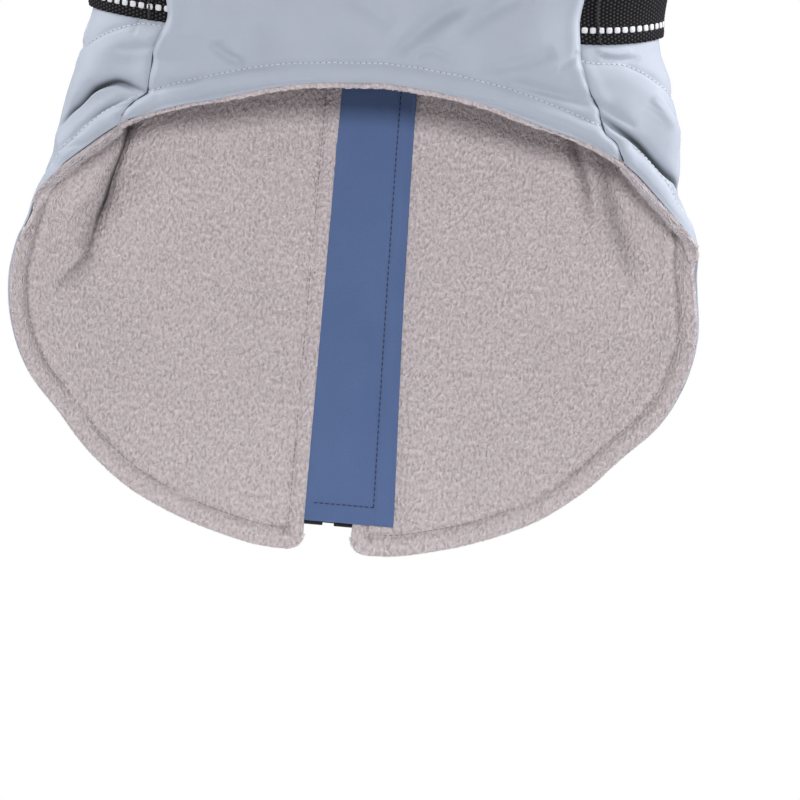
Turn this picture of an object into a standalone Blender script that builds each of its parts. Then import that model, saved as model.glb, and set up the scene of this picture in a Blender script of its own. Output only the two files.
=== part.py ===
"""A dog's winter coat, empty and filled out as on its wearer: neck up, belly towards -Y, zip down the back.

Every piece of cloth is a wall built on one curved form, the body that fills the coat. A place on that form
is an angle round it and a drop below the neck rim. The angle is 0 at the zip, 90 at the side and 180 at the
middle of the belly, and negative on the -X side. A layer of cloth is the form's points moved out along its
normals, so the shell, the fleece lining, the belt and the zip lie on each other at stated heights.

The origin is the middle of the neck opening. Sizes are in millimetres, and MM turns them into metres.
"""

import math

import bmesh
import bpy
import mathutils
import numpy as np

MM = 0.001

# Cloth, from the inside out: heights above the form
SHELL = (0.0, 2.2)
LINING = (-2.1, -0.3)
BELT = (3.1, 5.1)
BELLY_LIFT = 5.6  # the belly panel's loose edge rides this high over the belt's end
LIFT_DROPS = (194, 209, 274, 288)  # the lift grows over the first two drops and fades over the last two
LIFT_PAST_BELT, LIFT_FADE = 2.5, 15.0  # degrees past the belt's end that it stays full, and then fades over
SEAM_GAP = 0.3

# Zip, down the middle of the back
ZIP_HALF = 13.0  # half the gap between the back panels
TAPE = (1.0, 1.9)
COIL = (0.6, 3.0)
COIL_HALF = 2.8
TAPE_TOP, TAPE_END = 1.5, 524.0
COIL_TOP, COIL_END = 14.4, 516.0
STOP_HALF, STOP_END = 4.3, 523.0
ZIP_ROWS = 25
STOP_THICK = 1.4
PLACKET_THICK = 1.2
PLACKET_TOP, PLACKET_END = 2.0, 522.0

# Belt of webbing
BELT_WIDE = 38.0
BELT_TUCK = 6.5  # degrees that the belt's end reaches under the belly panel
BELT_START = 15.5  # from the middle of the back, beside the zip

# Armholes, between the belly panel and the back panels
ARM_TOP, ARM_BOTTOM = 121.0, 211.0
ARM_INTO_BACK, ARM_INTO_BELLY = 21.0, 19.0  # degrees
ARM_FULLNESS = 0.7  # under 1, the hole's ends are rounder than a sine's

# The form: the half width, how far the back and the belly stand from the middle, and how far the belly
# hangs towards +X of the zip, at each drop
FORM = {
    "drop": (
        0, 40, 62, 85, 110, 135, 165, 195, 225, 247, 262, 275, 290, 305, 320, 335, 352, 364,
        375, 386, 408, 437, 545,
    ),
    "half_width": (
        78, 78, 91, 112, 132, 145, 151, 152, 149, 146.5, 147, 150.8, 154.2, 158, 160.6, 162.4, 169.5, 175,
        180, 183.5, 188.7, 189.7, 189.7,
    ),
    "back": (
        52, 52, 55, 60, 66, 70, 71, 69, 65, 60, 58, 55, 52, 50, 48, 46, 44, 43.3,
        42.8, 42.4, 41.5, 40, 37,
    ),
    "belly": (
        50, 52, 58, 66, 72, 75, 76, 74, 68, 60, 57, 53, 48, 44, 41, 39, 38, 37.5,
        37, 36.5, 36, 36, 36,
    ),
    "sway": (0, 0, 0, 0, 0, 0, 0, 0, 1, 3, 6, 9) + (9.5,) * 11,
}
BOXINESS = 0.08

# The hem: rounded tail flap, up and forward round the sides, then the arch under the belly
HEM = {
    "angle": (0, 9, 18, 32.6, 43.3, 51.6, 61.6, 68.6, 73.1, 75.4, 79.2, 90, 104, 112.7, 125.7, 143, 165, 180),
    "drop": (537.5, 537, 531.5, 515, 495, 475, 455, 435, 415, 395, 375, 363, 350, 337, 321, 306, 293, 290),
}
CORNER = 8.0  # radius of the flap's corners beside the zip

# The seam between the belly panel and each back panel
SEAM = {
    "drop": (0, 121, 211, 236, 250, 263, 271, 286, 295, 306, 312, 321),
    "left": (137, 135, 133.2, 132.6, 132.2, 132.4, 131.4, 128.7, 129.2, 129.4, 126.5, 123.5),
    "right": (137, 135, 134.2, 134.5, 135.6, 136.3, 137.4, 135, 132.6, 131.6, 128.2, 126),
}
FLEECE_ROLL = 2.5  # the belly lining rolls out under the shell's arched edge

# The belt's centre line and the placket's loose edge
BELT_LINE = {
    "angle": (0, 90, 135, 180),
    "left": (227, 243, 249, 250),
    "right": (227, 234, 242, 244),
}
PLACKET_EDGE = {"drop": (0, 291, 385, 522), "across": (26, 26.5, 28.5, 34)}
PLACKET_RISE = {"across": (-13, -5.5, 8, 40), "height": (-0.6, -1.3, -2.9, -2.9)}

# The largest folds: each runs on the form from a start through a middle to an end, and sinks by depth
FOLDS = (
    # angle, drop: start, middle, end          depth, width, share of the depth at the start and at the end
    ((-131, 305), (-117, 309), (-103, 326), 6.0, 8.0, 0.5, 0.5),  # left side, above the hem
    ((-128, 292), (-119, 293), (-108, 301), 2.5, 6.0, 0.4, 0.0),
    ((130, 298), (113, 318), (92, 334), 5.0, 8.0, 0.5, 0.3),  # right side
    ((112, 286), (104, 300), (97, 314), -3.5, 9.0, 0.2, 0.2),
    ((-49, 322), (-48, 350), (-56, 394), -5.5, 9.0, 0.8, 0.0),  # left valley inside the flap
    ((47, 316), (48.5, 340), (46, 366), -3.0, 10.0, 0.6, 0.0),  # right valley
    ((-41, 318), (-39, 352), (-44, 392), 3.0, 13.0, 0.7, 0.0),  # the swell beside the left valley
    ((-150, 262), (-153, 275), (-158, 290), 2.0, 9.0, 0.0, 0.3),  # belly panel
    ((160, 300), (163, 276), (168, 250), -1.8, 9.0, 0.2, 0.0),
    ((176, 296), (172, 270), (168, 235), 1.5, 9.0, 0.2, 0.0),
)

# Rows of the grids, as drops down the belly seam; they crowd together at the armhole's ends
SEAM_ROWS = (
    0, 20, 40, 60, 81, 102, 121, 126, 135, 149, 166, 183, 197, 206, 211, 219, 233, 247, 260, 273,
    285, 297, 309, 321,
)
BACK_COLUMNS = 19
CORNER_COLUMNS = (0.008, 0.022)  # two more columns, as shares of the hem, round the corner beside the zip
BELLY_COLUMNS = 13
PLACKET_COLUMNS = (0, 0.17, 0.34, 0.52, 0.76, 1.0)  # as shares of its width
BELT_STEPS = 40

# Slider and pull, near the neck; out is measured from the form, up from the pull's pin
PIN_DROP = 18.0
SLIDER = {"half_wide": 5.0, "half_tall": 7.0, "outer": (3.3, 4.5), "inner": (-0.7, 0.3), "post": 3.0}
BRIDGE = {"half_wide": 1.6, "rise": 3.6, "reach": 5.0, "thick": 1.1}
PIN_OUT = 5.8
PULL = {"bar": 0.65, "half_wide": 3.9, "arm": 1.5, "window": 8.0, "length": 30.0, "thick": 1.6}


def clear_scene():
    for old in list(bpy.data.objects):
        bpy.data.objects.remove(old, do_unlink=True)


def material(name, colour, roughness, metallic=0.0):
    made = bpy.data.materials.new(name)
    made.use_nodes = True
    shader = made.node_tree.nodes["Principled BSDF"]
    shader.inputs["Base Color"].default_value = (*colour, 1.0)
    shader.inputs["Roughness"].default_value = roughness
    shader.inputs["Metallic"].default_value = metallic
    return made


def follow(table, column, at, along="drop"):
    """A column of a table at the places asked for: a smooth curve through its rows that never overshoots."""
    places, values = np.asarray(table[along], float), np.asarray(table[column], float)
    steps = np.diff(places)
    rises = np.diff(values) / steps
    together = rises[:-1] * rises[1:]
    slopes = np.concatenate([rises[:1], np.zeros(len(rises) - 1), rises[-1:]])
    same_way = together > 0
    slopes[1:-1][same_way] = 2 * together[same_way] / (rises[:-1] + rises[1:])[same_way]
    at = np.clip(at, places[0], places[-1])
    row = np.clip(np.searchsorted(places, at, side="right") - 1, 0, len(steps) - 1)
    t = (at - places[row]) / steps[row]
    return (
        values[row] * (1 + 2 * t) * (1 - t) ** 2
        + slopes[row] * steps[row] * t * (1 - t) ** 2
        + values[row + 1] * t**2 * (3 - 2 * t)
        + slopes[row + 1] * steps[row] * t**2 * (t - 1)
    )


def body_point(angle, drop):
    """Points of the bare form: at each drop half an ellipse at the back and half at the belly, a little boxy.
    The sway moves them towards +X, by nothing at the zip and in full at the middle of the belly."""
    angle, drop = np.broadcast_arrays(np.asarray(angle, float), np.asarray(drop, float))
    turn = np.radians(angle)
    depth = np.where(np.cos(turn) > 0, follow(FORM, "back", drop), follow(FORM, "belly", drop))
    across = follow(FORM, "half_width", drop) * np.sin(turn)
    across = across + follow(FORM, "sway", drop) * (1 - np.cos(turn)) / 2
    out = depth * np.cos(turn) * (1 + BOXINESS * np.sin(turn) ** 2)
    return np.stack([across, out, -drop], axis=-1)


def outward(angle, drop, step=1.5):
    """The form's unit normals, square to a step round it and a step down it, pointing outwards."""
    around = body_point(angle + step, drop) - body_point(angle - step, drop)
    down = body_point(angle, drop + step) - body_point(angle, drop - step)
    normal = np.cross(around, down)
    return normal / np.linalg.norm(normal, axis=-1, keepdims=True)


def fold_height(points):
    """How far the folds lift points of the form: a soft trough or ridge about each fold's curved line."""
    height = np.zeros(points.shape[:-1])
    t = np.linspace(0, 1, 41)
    weights = np.stack([(1 - t) * (1 - 2 * t), 4 * t * (1 - t), t * (2 * t - 1)])
    for start, middle, end, depth, width, at_start, at_end in FOLDS:
        line = np.array([start, middle, end]).T @ weights
        away = np.linalg.norm(points[..., None, :] - body_point(*line), axis=-1)
        strength = np.interp(t[away.argmin(axis=-1)], (0, 0.35, 0.65, 1), (at_start, 1, 1, at_end))
        height -= depth * strength * np.exp(-((away.min(axis=-1) / width) ** 2))
    return height


def layer(angle, drop, height):
    """Points of cloth that lies at a height above the form, following its folds."""
    base = body_point(angle, drop)
    return base + outward(angle, drop) * (fold_height(base) + height)[..., None]


def seam_angle(side, drop, into=0.0):
    """A belly seam's angle. At the armhole each panel's edge curves away from it by the angle `into`."""
    along = np.clip((drop - ARM_TOP) / (ARM_BOTTOM - ARM_TOP), 0, 1)
    return follow(SEAM, side, drop) + into * np.sin(np.pi * along) ** ARM_FULLNESS


def zip_angle(drop, across=ZIP_HALF):
    """The angle at a distance from the middle of the back."""
    return np.degrees(np.arcsin(across / follow(FORM, "half_width", drop)))


def half_gap(drop):
    """Half the gap at the belly seam, as an angle."""
    one_degree = np.linalg.norm(body_point(132, drop) - body_point(131, drop), axis=-1)
    return SEAM_GAP / 2 / one_degree


def even_steps(points, count):
    """Places, as shares of a line of points, that cut it into pieces of equal length."""
    length = np.concatenate([[0], np.cumsum(np.linalg.norm(np.diff(points, axis=0), axis=1))])
    return np.interp(np.linspace(0, length[-1], count), length, np.linspace(0, 1, len(points)))


def hem_drop(angle):
    """The hem's drop at an angle, rounded off at the corner beside the zip."""
    from_zip = follow(FORM, "half_width", 537.0) * np.sin(np.radians(angle)) - ZIP_HALF
    short = np.clip(CORNER - from_zip, 0, CORNER)
    return follow(HEM, "drop", angle, "angle") - CORNER + np.sqrt(CORNER**2 - short**2)


def back_grid(side):
    """Angles and drops of a back panel: its columns are evenly spaced on the hem, its rows go neck to hem."""
    last = SEAM_ROWS[-1]
    low, high = zip_angle(HEM["drop"][0]), seam_angle(side, last) - half_gap(last)
    fine = np.linspace(low, high, 400)
    share = even_steps(body_point(fine, hem_drop(fine)), BACK_COLUMNS)
    share = np.sort(np.concatenate([share, CORNER_COLUMNS]))
    hem = hem_drop(low + share * (high - low))
    drop = np.outer(np.array(SEAM_ROWS) / last, hem)
    edge = seam_angle(side, drop, -ARM_INTO_BACK) - half_gap(drop)
    return zip_angle(drop) + share * (edge - zip_angle(drop)), drop


def by_side(share, made):
    """Values made for the right side where the share is below 0, and for the left side elsewhere."""
    return np.where(share < 0, made("right"), made("left"))


def belly_grid(roll=0.0):
    """Angles and drops of the belly panel, +X seam to -X seam. A roll adds a row below the hem."""
    last = SEAM_ROWS[-1]
    share = np.linspace(-1, 1, BELLY_COLUMNS)
    half = 180 - by_side(share, lambda side: seam_angle(side, last)) - half_gap(last)
    hem = follow(HEM, "drop", 180 - np.abs(share) * half, "angle")
    drop = np.outer(np.array(SEAM_ROWS) / last, hem)
    if roll:
        drop = np.vstack([drop, drop[-1] + roll])
    seam = by_side(share, lambda side: seam_angle(side, drop, ARM_INTO_BELLY))
    return 180 + share * (180 - seam - half_gap(drop)), drop


def over_belt(angle, drop):
    """How far the belly panel's side edges are lifted where the belt's ends go under them."""
    seam = by_side(angle - 180, lambda side: seam_angle(side, drop))
    inside = np.abs((angle + 180) % 360 - 180) - seam
    near_edge = 1 - np.clip((inside - BELT_TUCK - LIFT_PAST_BELT) / LIFT_FADE, 0, 1)
    level = np.interp(drop, LIFT_DROPS, (0, 1, 1, 0))
    smooth = near_edge**2 * (3 - 2 * near_edge)
    return BELLY_LIFT * smooth * level


def mesh_object(name, points, faces, finish, collection):
    mesh = bpy.data.meshes.new(name)
    mesh.from_pydata((np.asarray(points) * MM).tolist(), [], faces)
    mesh.materials.append(finish)
    mesh.shade_smooth()
    mesh.set_sharp_from_angle(angle=math.radians(40))
    made = bpy.data.objects.new(name, mesh)
    collection.objects.link(made)
    return made


def closed_wall(name, inside, outside, short_way, finish, collection):
    """A closed wall between two grids of points. short_way says which diagonal cuts each cell in two, and it
    is the same in every layer of a panel, so that layers never cross."""
    rows, columns = outside.shape[:2]
    index = np.arange(rows * columns).reshape(rows, columns)
    corners = (index[:-1, :-1], index[:-1, 1:], index[1:, 1:], index[1:, :-1])
    a, b, c, d = (corner.ravel() for corner in corners)
    one = np.where(short_way.ravel(), [a, b, c], [a, b, d])
    two = np.where(short_way.ravel(), [a, c, d], [b, c, d])
    front = np.concatenate([one.T, two.T])
    rim = np.concatenate([index[0, :-1], index[:-1, -1], index[-1, :0:-1], index[:0:-1, 0]])
    after = np.roll(rim, -1)
    under = rows * columns
    edge_one = np.stack([after, rim, rim + under], -1)
    edge_two = np.stack([after, rim + under, after + under], -1)
    faces = np.concatenate([front, front[:, ::-1] + under, edge_one, edge_two])
    points = np.concatenate([outside.reshape(-1, 3), inside.reshape(-1, 3)])
    return mesh_object(name, points, faces.tolist(), finish, collection)


def cloth(name, grid, heights, finish, collection, mirror=False):
    """A wall of cloth on the form. A mirrored one takes the +X side's places with the angle turned round."""
    angle, drop = grid
    if mirror:
        angle, drop = -angle[:, ::-1], drop[:, ::-1]
    base = body_point(angle, drop)
    falling = np.linalg.norm(base[:-1, :-1] - base[1:, 1:], axis=-1)
    rising = np.linalg.norm(base[:-1, 1:] - base[1:, :-1], axis=-1)
    inside, outside = (layer(angle, drop, height) for height in heights)
    return closed_wall(name, inside, outside, falling < rising + 0.01, finish, collection)


def make_panels(finishes, collection):
    belly = belly_grid()
    lift = over_belt(*belly)
    cloth("belly_panel", belly, (SHELL[0] + lift, SHELL[1] + lift), finishes["shell"], collection)
    cloth("belly_lining", belly_grid(FLEECE_ROLL), LINING, finishes["fleece"], collection)
    for side, mirror in (("left", True), ("right", False)):
        back = back_grid(side)
        cloth(f"back_panel_{side}", back, SHELL, finishes["shell"], collection, mirror)
        cloth(f"back_lining_{side}", back, LINING, finishes["fleece"], collection, mirror)


def make_belt(side, finish, collection):
    """Webbing from beside the zip, round the side, to just under the belly panel's loose edge."""
    first = zip_angle(227.0, BELT_START)
    fine = np.linspace(first, seam_angle(side, 245.0) + BELT_TUCK, 400)
    share = even_steps(body_point(fine, follow(BELT_LINE, side, fine, "angle")), BELT_STEPS + 1)
    angle = first + share * (fine[-1] - first)
    line = follow(BELT_LINE, side, angle, "angle")
    drop = line + np.linspace(-BELT_WIDE / 2, BELT_WIDE / 2, 4)[:, None]
    grid = np.broadcast_to(angle, drop.shape), drop
    cloth(f"belt_{side}", grid, BELT, finish, collection, mirror=side == "left")


def strip(name, left, right, rows, heights, finish, collection):
    """A strip of the zip between two distances from the middle of the back, at heights above the form."""
    across = np.tile((left, right), (len(rows), 1))
    drop = np.broadcast_to(np.asarray(rows, float)[:, None], across.shape)
    return cloth(name, (zip_angle(drop, across), drop), heights, finish, collection)


def make_zip(finishes, collection):
    inner = COIL_HALF + SEAM_GAP
    outer = ZIP_HALF - SEAM_GAP
    rows = np.linspace(TAPE_TOP, TAPE_END, ZIP_ROWS)
    coil_rows = np.linspace(COIL_TOP, COIL_END, ZIP_ROWS)
    strip("zip_tape_left", -outer, -inner, rows, TAPE, finishes["tape"], collection)
    strip("zip_tape_right", inner, outer, rows, TAPE, finishes["tape"], collection)
    strip("zip_coil", -COIL_HALF, COIL_HALF, coil_rows, COIL, finishes["coil"], collection)
    stop_rows = (COIL_END + SEAM_GAP, STOP_END)
    lift = TAPE[1] + SEAM_GAP
    heights = (lift, lift + STOP_THICK)
    strip("zip_stop", -STOP_HALF, STOP_HALF, stop_rows, heights, finishes["metal"], collection)


def make_placket(finish, collection):
    """The blue strip behind the zip, sewn at the left and loose at the right, where it lies on the lining."""
    rows = np.linspace(PLACKET_TOP, PLACKET_END, ZIP_ROWS)[:, None]
    left = -ZIP_HALF + SEAM_GAP
    right = follow(PLACKET_EDGE, "across", rows)
    across = left + np.array(PLACKET_COLUMNS) * (right - left)
    drop = np.broadcast_to(rows, across.shape)
    rise = follow(PLACKET_RISE, "height", across, "across")
    cloth("zip_placket", (zip_angle(drop, across), drop), (rise - PLACKET_THICK, rise), finish, collection)


def box(low, high):
    """A box between two corners, as a mesh of its own."""
    shape = bmesh.new()
    bmesh.ops.create_cube(shape, size=1.0)
    low, high = np.array(low), np.array(high)
    bmesh.ops.scale(shape, vec=(high - low) * MM, verts=shape.verts)
    bmesh.ops.translate(shape, vec=(high + low) / 2 * MM, verts=shape.verts)
    return shape


def arch():
    """The slider's bridge: half a ring across the pull's bar, its feet sunk into the outer plate."""
    turn = np.radians(np.linspace(0, 180, 13))
    wide, foot = BRIDGE["half_wide"], 0.6
    ring = []
    for shrink in (0.0, BRIDGE["thick"]):
        up = (BRIDGE["reach"] - shrink) * np.cos(turn)
        out = (BRIDGE["rise"] - shrink) * np.sin(turn)
        ring.append(np.stack([out, up], axis=-1))
    outer, inner = (np.pad(half, ((1, 1), (0, 0)), mode="edge") for half in ring)
    outer[[0, -1], 0] = inner[[0, -1], 0] = -foot
    profile = np.concatenate([outer, inner[::-1]])
    shape = bmesh.new()
    plate = SLIDER["outer"][1]
    corners = [shape.verts.new((-wide * MM, (plate + out) * MM, up * MM)) for out, up in profile]
    face = shape.faces.new(corners)
    pushed = bmesh.ops.extrude_face_region(shape, geom=[face])
    moved = [v for v in pushed["geom"] if isinstance(v, bmesh.types.BMVert)]
    bmesh.ops.translate(shape, vec=(2 * wide * MM, 0, 0), verts=moved)
    bmesh.ops.recalc_face_normals(shape, faces=shape.faces)
    return shape


def joined(name, shapes, finish, place, collection, cutters):
    """Shapes made one solid by Boolean unions, placed at the pull's pin."""
    parts = []
    for number, shape in enumerate(shapes):
        mesh = bpy.data.meshes.new(f"{name}_{number}")
        shape.to_mesh(mesh)
        shape.free()
        part = bpy.data.objects.new(name if number == 0 else f"{name}_tool_{number}", mesh)
        part.location = place
        (collection if number == 0 else cutters).objects.link(part)
        parts.append(part)
    whole = parts[0]
    whole.data.materials.append(finish)
    for tool in parts[1:]:
        tool.hide_render = True
        tool.display_type = "WIRE"
        union = whole.modifiers.new("union", "BOOLEAN")
        union.operation = "UNION"
        union.object = tool
    return whole


def make_slider(finish, collection, cutters):
    """Two plates about the coil, a post between them above its end, and a bridge for the pull's bar."""
    wide, tall = SLIDER["half_wide"], SLIDER["half_tall"]
    (inner_low, inner_high), (outer_low, outer_high) = SLIDER["inner"], SLIDER["outer"]
    post = SLIDER["post"]
    shapes = [
        box((-wide, outer_low, -tall), (wide, outer_high, tall)),
        box((-wide, inner_low, -tall), (wide, inner_high, tall)),
        box((-post / 2, inner_low + 0.2, tall - post), (post / 2, outer_high - 0.2, tall - 0.2)),
        arch(),
    ]
    back = float(body_point(0.0, PIN_DROP)[1])
    joined("zip_slider", shapes, finish, (0, back * MM, -PIN_DROP * MM), collection, cutters)


def make_pull(finish, collection, cutters):
    """A bar in the bridge, an arm down each side of it, and a tab below. Its origin is on the bar's axis."""
    wide, arm, thick = PULL["half_wide"], PULL["arm"], PULL["thick"] / 2
    bar = bmesh.new()
    radius, long = PULL["bar"] * MM, 2 * (wide - 0.2) * MM
    bmesh.ops.create_cone(bar, cap_ends=True, segments=16, radius1=radius, radius2=radius, depth=long)
    across = mathutils.Matrix.Rotation(math.radians(90), 3, "Y")
    bmesh.ops.rotate(bar, matrix=across, verts=bar.verts)
    shapes = [box((-wide, -thick, -PULL["length"]), (wide, thick, -PULL["window"])), bar]
    for side in (-1, 1):
        inner, outer = sorted((side * (wide - arm), side * wide))
        shapes.append(box((inner, -thick, -PULL["window"] - 1), (outer, thick, PULL["bar"])))
    back = float(body_point(0.0, PIN_DROP)[1])
    joined("zip_pull", shapes, finish, (0, (back + PIN_OUT) * MM, -PIN_DROP * MM), collection, cutters)


def main():
    clear_scene()
    collection = bpy.data.collections.new("dog_winter_coat")
    cutters = bpy.data.collections.new("tools")
    bpy.context.scene.collection.children.link(collection)
    bpy.context.scene.collection.children.link(cutters)
    finishes = {
        "shell": material("shell", (0.43, 0.46, 0.54), 0.55),
        "fleece": material("fleece", (0.48, 0.43, 0.44), 0.95),
        "placket": material("placket", (0.095, 0.148, 0.306), 0.7),
        "webbing": material("webbing", (0.022, 0.021, 0.025), 0.8),
        "tape": material("tape", (0.012, 0.012, 0.013), 0.7),
        "coil": material("coil", (0.012, 0.012, 0.013), 0.45),
        "metal": material("metal", (0.03, 0.03, 0.033), 0.35),
    }
    make_panels(finishes, collection)
    for side in ("left", "right"):
        make_belt(side, finishes["webbing"], collection)
    make_zip(finishes, collection)
    make_placket(finishes["placket"], collection)
    make_slider(finishes["metal"], collection, cutters)
    make_pull(finishes["metal"], collection, cutters)


main()
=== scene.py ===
# %% [markdown]
# # A dog's winter coat
# The coat is empty and filled out as on its wearer: neck up, belly to the front, zip down the back.
# Its solids are fixed. Round them this lesson makes the cloth, the pile, the webbing, the zip and the sewing.
# Every piece of cloth is a thin wall on one curved form, so all of them share a few small functions.

import math

import bpy
import numpy as np
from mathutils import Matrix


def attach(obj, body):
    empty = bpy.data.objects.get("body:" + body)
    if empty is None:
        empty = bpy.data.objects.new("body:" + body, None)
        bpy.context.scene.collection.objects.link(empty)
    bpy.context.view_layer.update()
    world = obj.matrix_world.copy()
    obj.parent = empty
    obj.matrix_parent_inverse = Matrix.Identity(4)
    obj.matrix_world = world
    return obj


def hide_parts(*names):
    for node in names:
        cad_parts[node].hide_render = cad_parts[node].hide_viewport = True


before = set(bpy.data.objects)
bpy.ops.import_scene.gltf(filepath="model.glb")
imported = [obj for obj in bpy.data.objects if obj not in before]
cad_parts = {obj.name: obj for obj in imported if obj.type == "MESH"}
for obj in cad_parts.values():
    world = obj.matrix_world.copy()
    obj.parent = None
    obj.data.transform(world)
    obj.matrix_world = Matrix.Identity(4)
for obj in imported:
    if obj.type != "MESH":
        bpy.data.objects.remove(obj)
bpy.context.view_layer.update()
MM = 0.001

# %% [markdown]
# ## The camera, the room and the light
# The coat hangs upright and the camera looks straight at the belly from far away, leaning five degrees. A long
# lens keeps the near hem and the far flap at one scale. The room is white, so cloth is lit from all round, and
# two large soft lamps add a little direction.

# %% Camera
def placed(name, data):
    """An object of the scene with this data."""
    made = bpy.data.objects.new(name, data)
    bpy.context.scene.collection.objects.link(made)
    return made


PIXEL = 0.525  # millimetres of coat to a pixel
FAR = 8.0
LEAN = math.radians(5)
looks_at = (0.0321, 0.0, -0.4551)

camera_data = bpy.data.cameras.new("camera")
camera_data.sensor_width = 36
camera_data.lens = camera_data.sensor_width * FAR / (800 * PIXEL * MM)
camera = placed("camera", camera_data)
camera.location = (looks_at[0], looks_at[1] - FAR, looks_at[2])
camera.rotation_euler = (math.radians(90), -LEAN, 0)
bpy.context.scene.camera = camera
print("lens", round(camera_data.lens), "mm")


# %% World and lamps
def room(seen, light):
    """A white world: one strength where the camera sees it and another where it lights the coat."""
    world = bpy.data.worlds.new("room")
    bpy.context.scene.world = world
    world.use_nodes = True
    tree = world.node_tree
    background = tree.nodes["Background"]
    background.inputs["Color"].default_value = (1.0, 1.0, 1.0, 1.0)
    rays = tree.nodes.new("ShaderNodeLightPath")
    strength = tree.nodes.new("ShaderNodeMapRange")
    strength.inputs["To Min"].default_value = light
    strength.inputs["To Max"].default_value = seen
    tree.links.new(rays.outputs["Is Camera Ray"], strength.inputs["Value"])
    tree.links.new(strength.outputs["Result"], background.inputs["Strength"])


def lamp(name, place, target, size, watts):
    """A square soft lamp at a place, facing a target."""
    data = bpy.data.lights.new(name, "AREA")
    data.size = size
    data.energy = watts
    made = placed(name, data)
    made.location = place
    aim = np.array(target) - np.array(place)
    tilt = math.acos(-aim[2] / np.linalg.norm(aim))
    made.rotation_euler = (tilt, 0, math.atan2(aim[1], aim[0]) - math.pi / 2)


def watts_for(share, distance):
    """The power that lights a white cloth facing the lamp to that share of white: pi squared times both."""
    return math.pi**2 * share * distance**2


LAMPS = (
    # name, place, size, share of white
    ("front", (0.12, -3.2, 0.13), 0.42, 0.63),
    ("side_right", (1.6, 0.1, 0.6), 0.9, 1.36),
    ("side_left", (-1.6, 0.1, 0.6), 0.9, 0.96),
    ("behind", (-0.4, 3.0, 0.6), 1.2, 0.55),
)
middle_of_coat = np.array((0.0, 0.0, -0.36))
room(seen=1.0, light=0.10)
for name, place, wide, share in LAMPS:
    away = np.linalg.norm(np.array(place) - middle_of_coat)
    lamp(name, place, middle_of_coat, wide, watts_for(share, away))
bpy.context.scene.view_settings.view_transform = "Standard"

# %% [markdown]
# ## The form inside the coat
# A place on the coat is an angle round the body and a drop below the neck. The angle is 0 at the zip, 90 at the
# side, 180 at the middle of the belly, and negative on the -X side. A table gives the body's half width and
# depths at some drops, and a smooth curve runs through its rows. A layer of cloth is the form moved outwards.

# %% Tables of the form, in millimetres and degrees
FORM = {
    "drop": (0, 40, 62, 85, 110, 135, 165, 195, 225, 247, 262, 275, 290, 305, 320, 335, 352, 364, 375, 386,
             408, 437, 545),
    "half_width": (78, 78, 91, 112, 132, 145, 151, 152, 149, 146.5, 147, 150.8, 154.2, 158, 160.6, 162.4,
                   169.5, 175, 180, 183.5, 188.7, 189.7, 189.7),
    "back": (52, 52, 55, 60, 66, 70, 71, 69, 65, 60, 58, 55, 52, 50, 48, 46, 44, 43.3, 42.8, 42.4, 41.5,
             40, 37),
    "belly": (50, 52, 58, 66, 72, 75, 76, 74, 68, 60, 57, 53, 48, 44, 41, 39, 38, 37.5, 37, 36.5, 36, 36, 36),
    "sway": (0, 0, 0, 0, 0, 0, 0, 0, 1, 3, 6, 9) + (9.5,) * 11,
}
BOXINESS = 0.08
HEM = {
    "angle": (0, 9, 18, 32.6, 43.3, 51.6, 61.6, 68.6, 73.1, 75.4, 79.2, 90, 104, 112.7, 125.7, 143, 165, 180),
    "drop": (537.5, 537, 531.5, 515, 495, 475, 455, 435, 415, 395, 375, 363, 350, 337, 321, 306, 293, 290),
}
SEAM = {
    "drop": (0, 121, 211, 236, 250, 263, 271, 286, 295, 306, 312, 321),
    "left": (137, 135, 133.2, 132.6, 132.2, 132.4, 131.4, 128.7, 129.2, 129.4, 126.5, 123.5),
    "right": (137, 135, 134.2, 134.5, 135.6, 136.3, 137.4, 135, 132.6, 131.6, 128.2, 126),
}
SEAM_END = SEAM["drop"][-1]
SEAM_GAP = 0.3
ARM_TOP, ARM_BOTTOM, ARM_FULLNESS = 121.0, 211.0, 0.7
ARM_INTO_BACK, ARM_INTO_BELLY = 21.0, 19.0
ZIP_HALF = 13.0
CORNER = 8.0
SIDES = {"left": -1, "right": 1}


# %% Points of the form
def follow(table, column, at, along="drop"):
    """A column of a table at the places asked for: a cubic curve through its rows. At each row its slope is
    the harmonic mean of the slopes on both sides, or 0 where they have different signs, so that the curve
    never swings past the table's values."""
    places, values = np.asarray(table[along], float), np.asarray(table[column], float)
    steps = np.diff(places)
    rises = np.diff(values) / steps
    together = rises[:-1] * rises[1:]
    slopes = np.concatenate([rises[:1], np.zeros(len(rises) - 1), rises[-1:]])
    same_way = together > 0
    slopes[1:-1][same_way] = 2 * together[same_way] / (rises[:-1] + rises[1:])[same_way]
    at = np.clip(at, places[0], places[-1])
    row = np.clip(np.searchsorted(places, at, side="right") - 1, 0, len(steps) - 1)
    t = (at - places[row]) / steps[row]
    start = values[row] * (1 + 2 * t) + slopes[row] * steps[row] * t
    end = values[row + 1] * (3 - 2 * t) + slopes[row + 1] * steps[row] * (t - 1)
    return start * (1 - t) ** 2 + end * t**2


def body_point(angle, drop):
    """x is the half width times the angle's sine, plus the sway, which grows from the zip to the belly.
    y is the depth times its cosine, a little boxy. z is minus the drop."""
    angle, drop = np.broadcast_arrays(np.asarray(angle, float), np.asarray(drop, float))
    turn = np.radians(angle)
    depth = np.where(np.cos(turn) > 0, follow(FORM, "back", drop), follow(FORM, "belly", drop))
    across = follow(FORM, "half_width", drop) * np.sin(turn)
    across = across + follow(FORM, "sway", drop) * (1 - np.cos(turn)) / 2
    return np.stack([across, depth * np.cos(turn) * (1 + BOXINESS * np.sin(turn) ** 2), -drop], axis=-1)


def unit(vectors):
    """Vectors brought to a length of 1."""
    return vectors / np.linalg.norm(vectors, axis=-1, keepdims=True)


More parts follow.
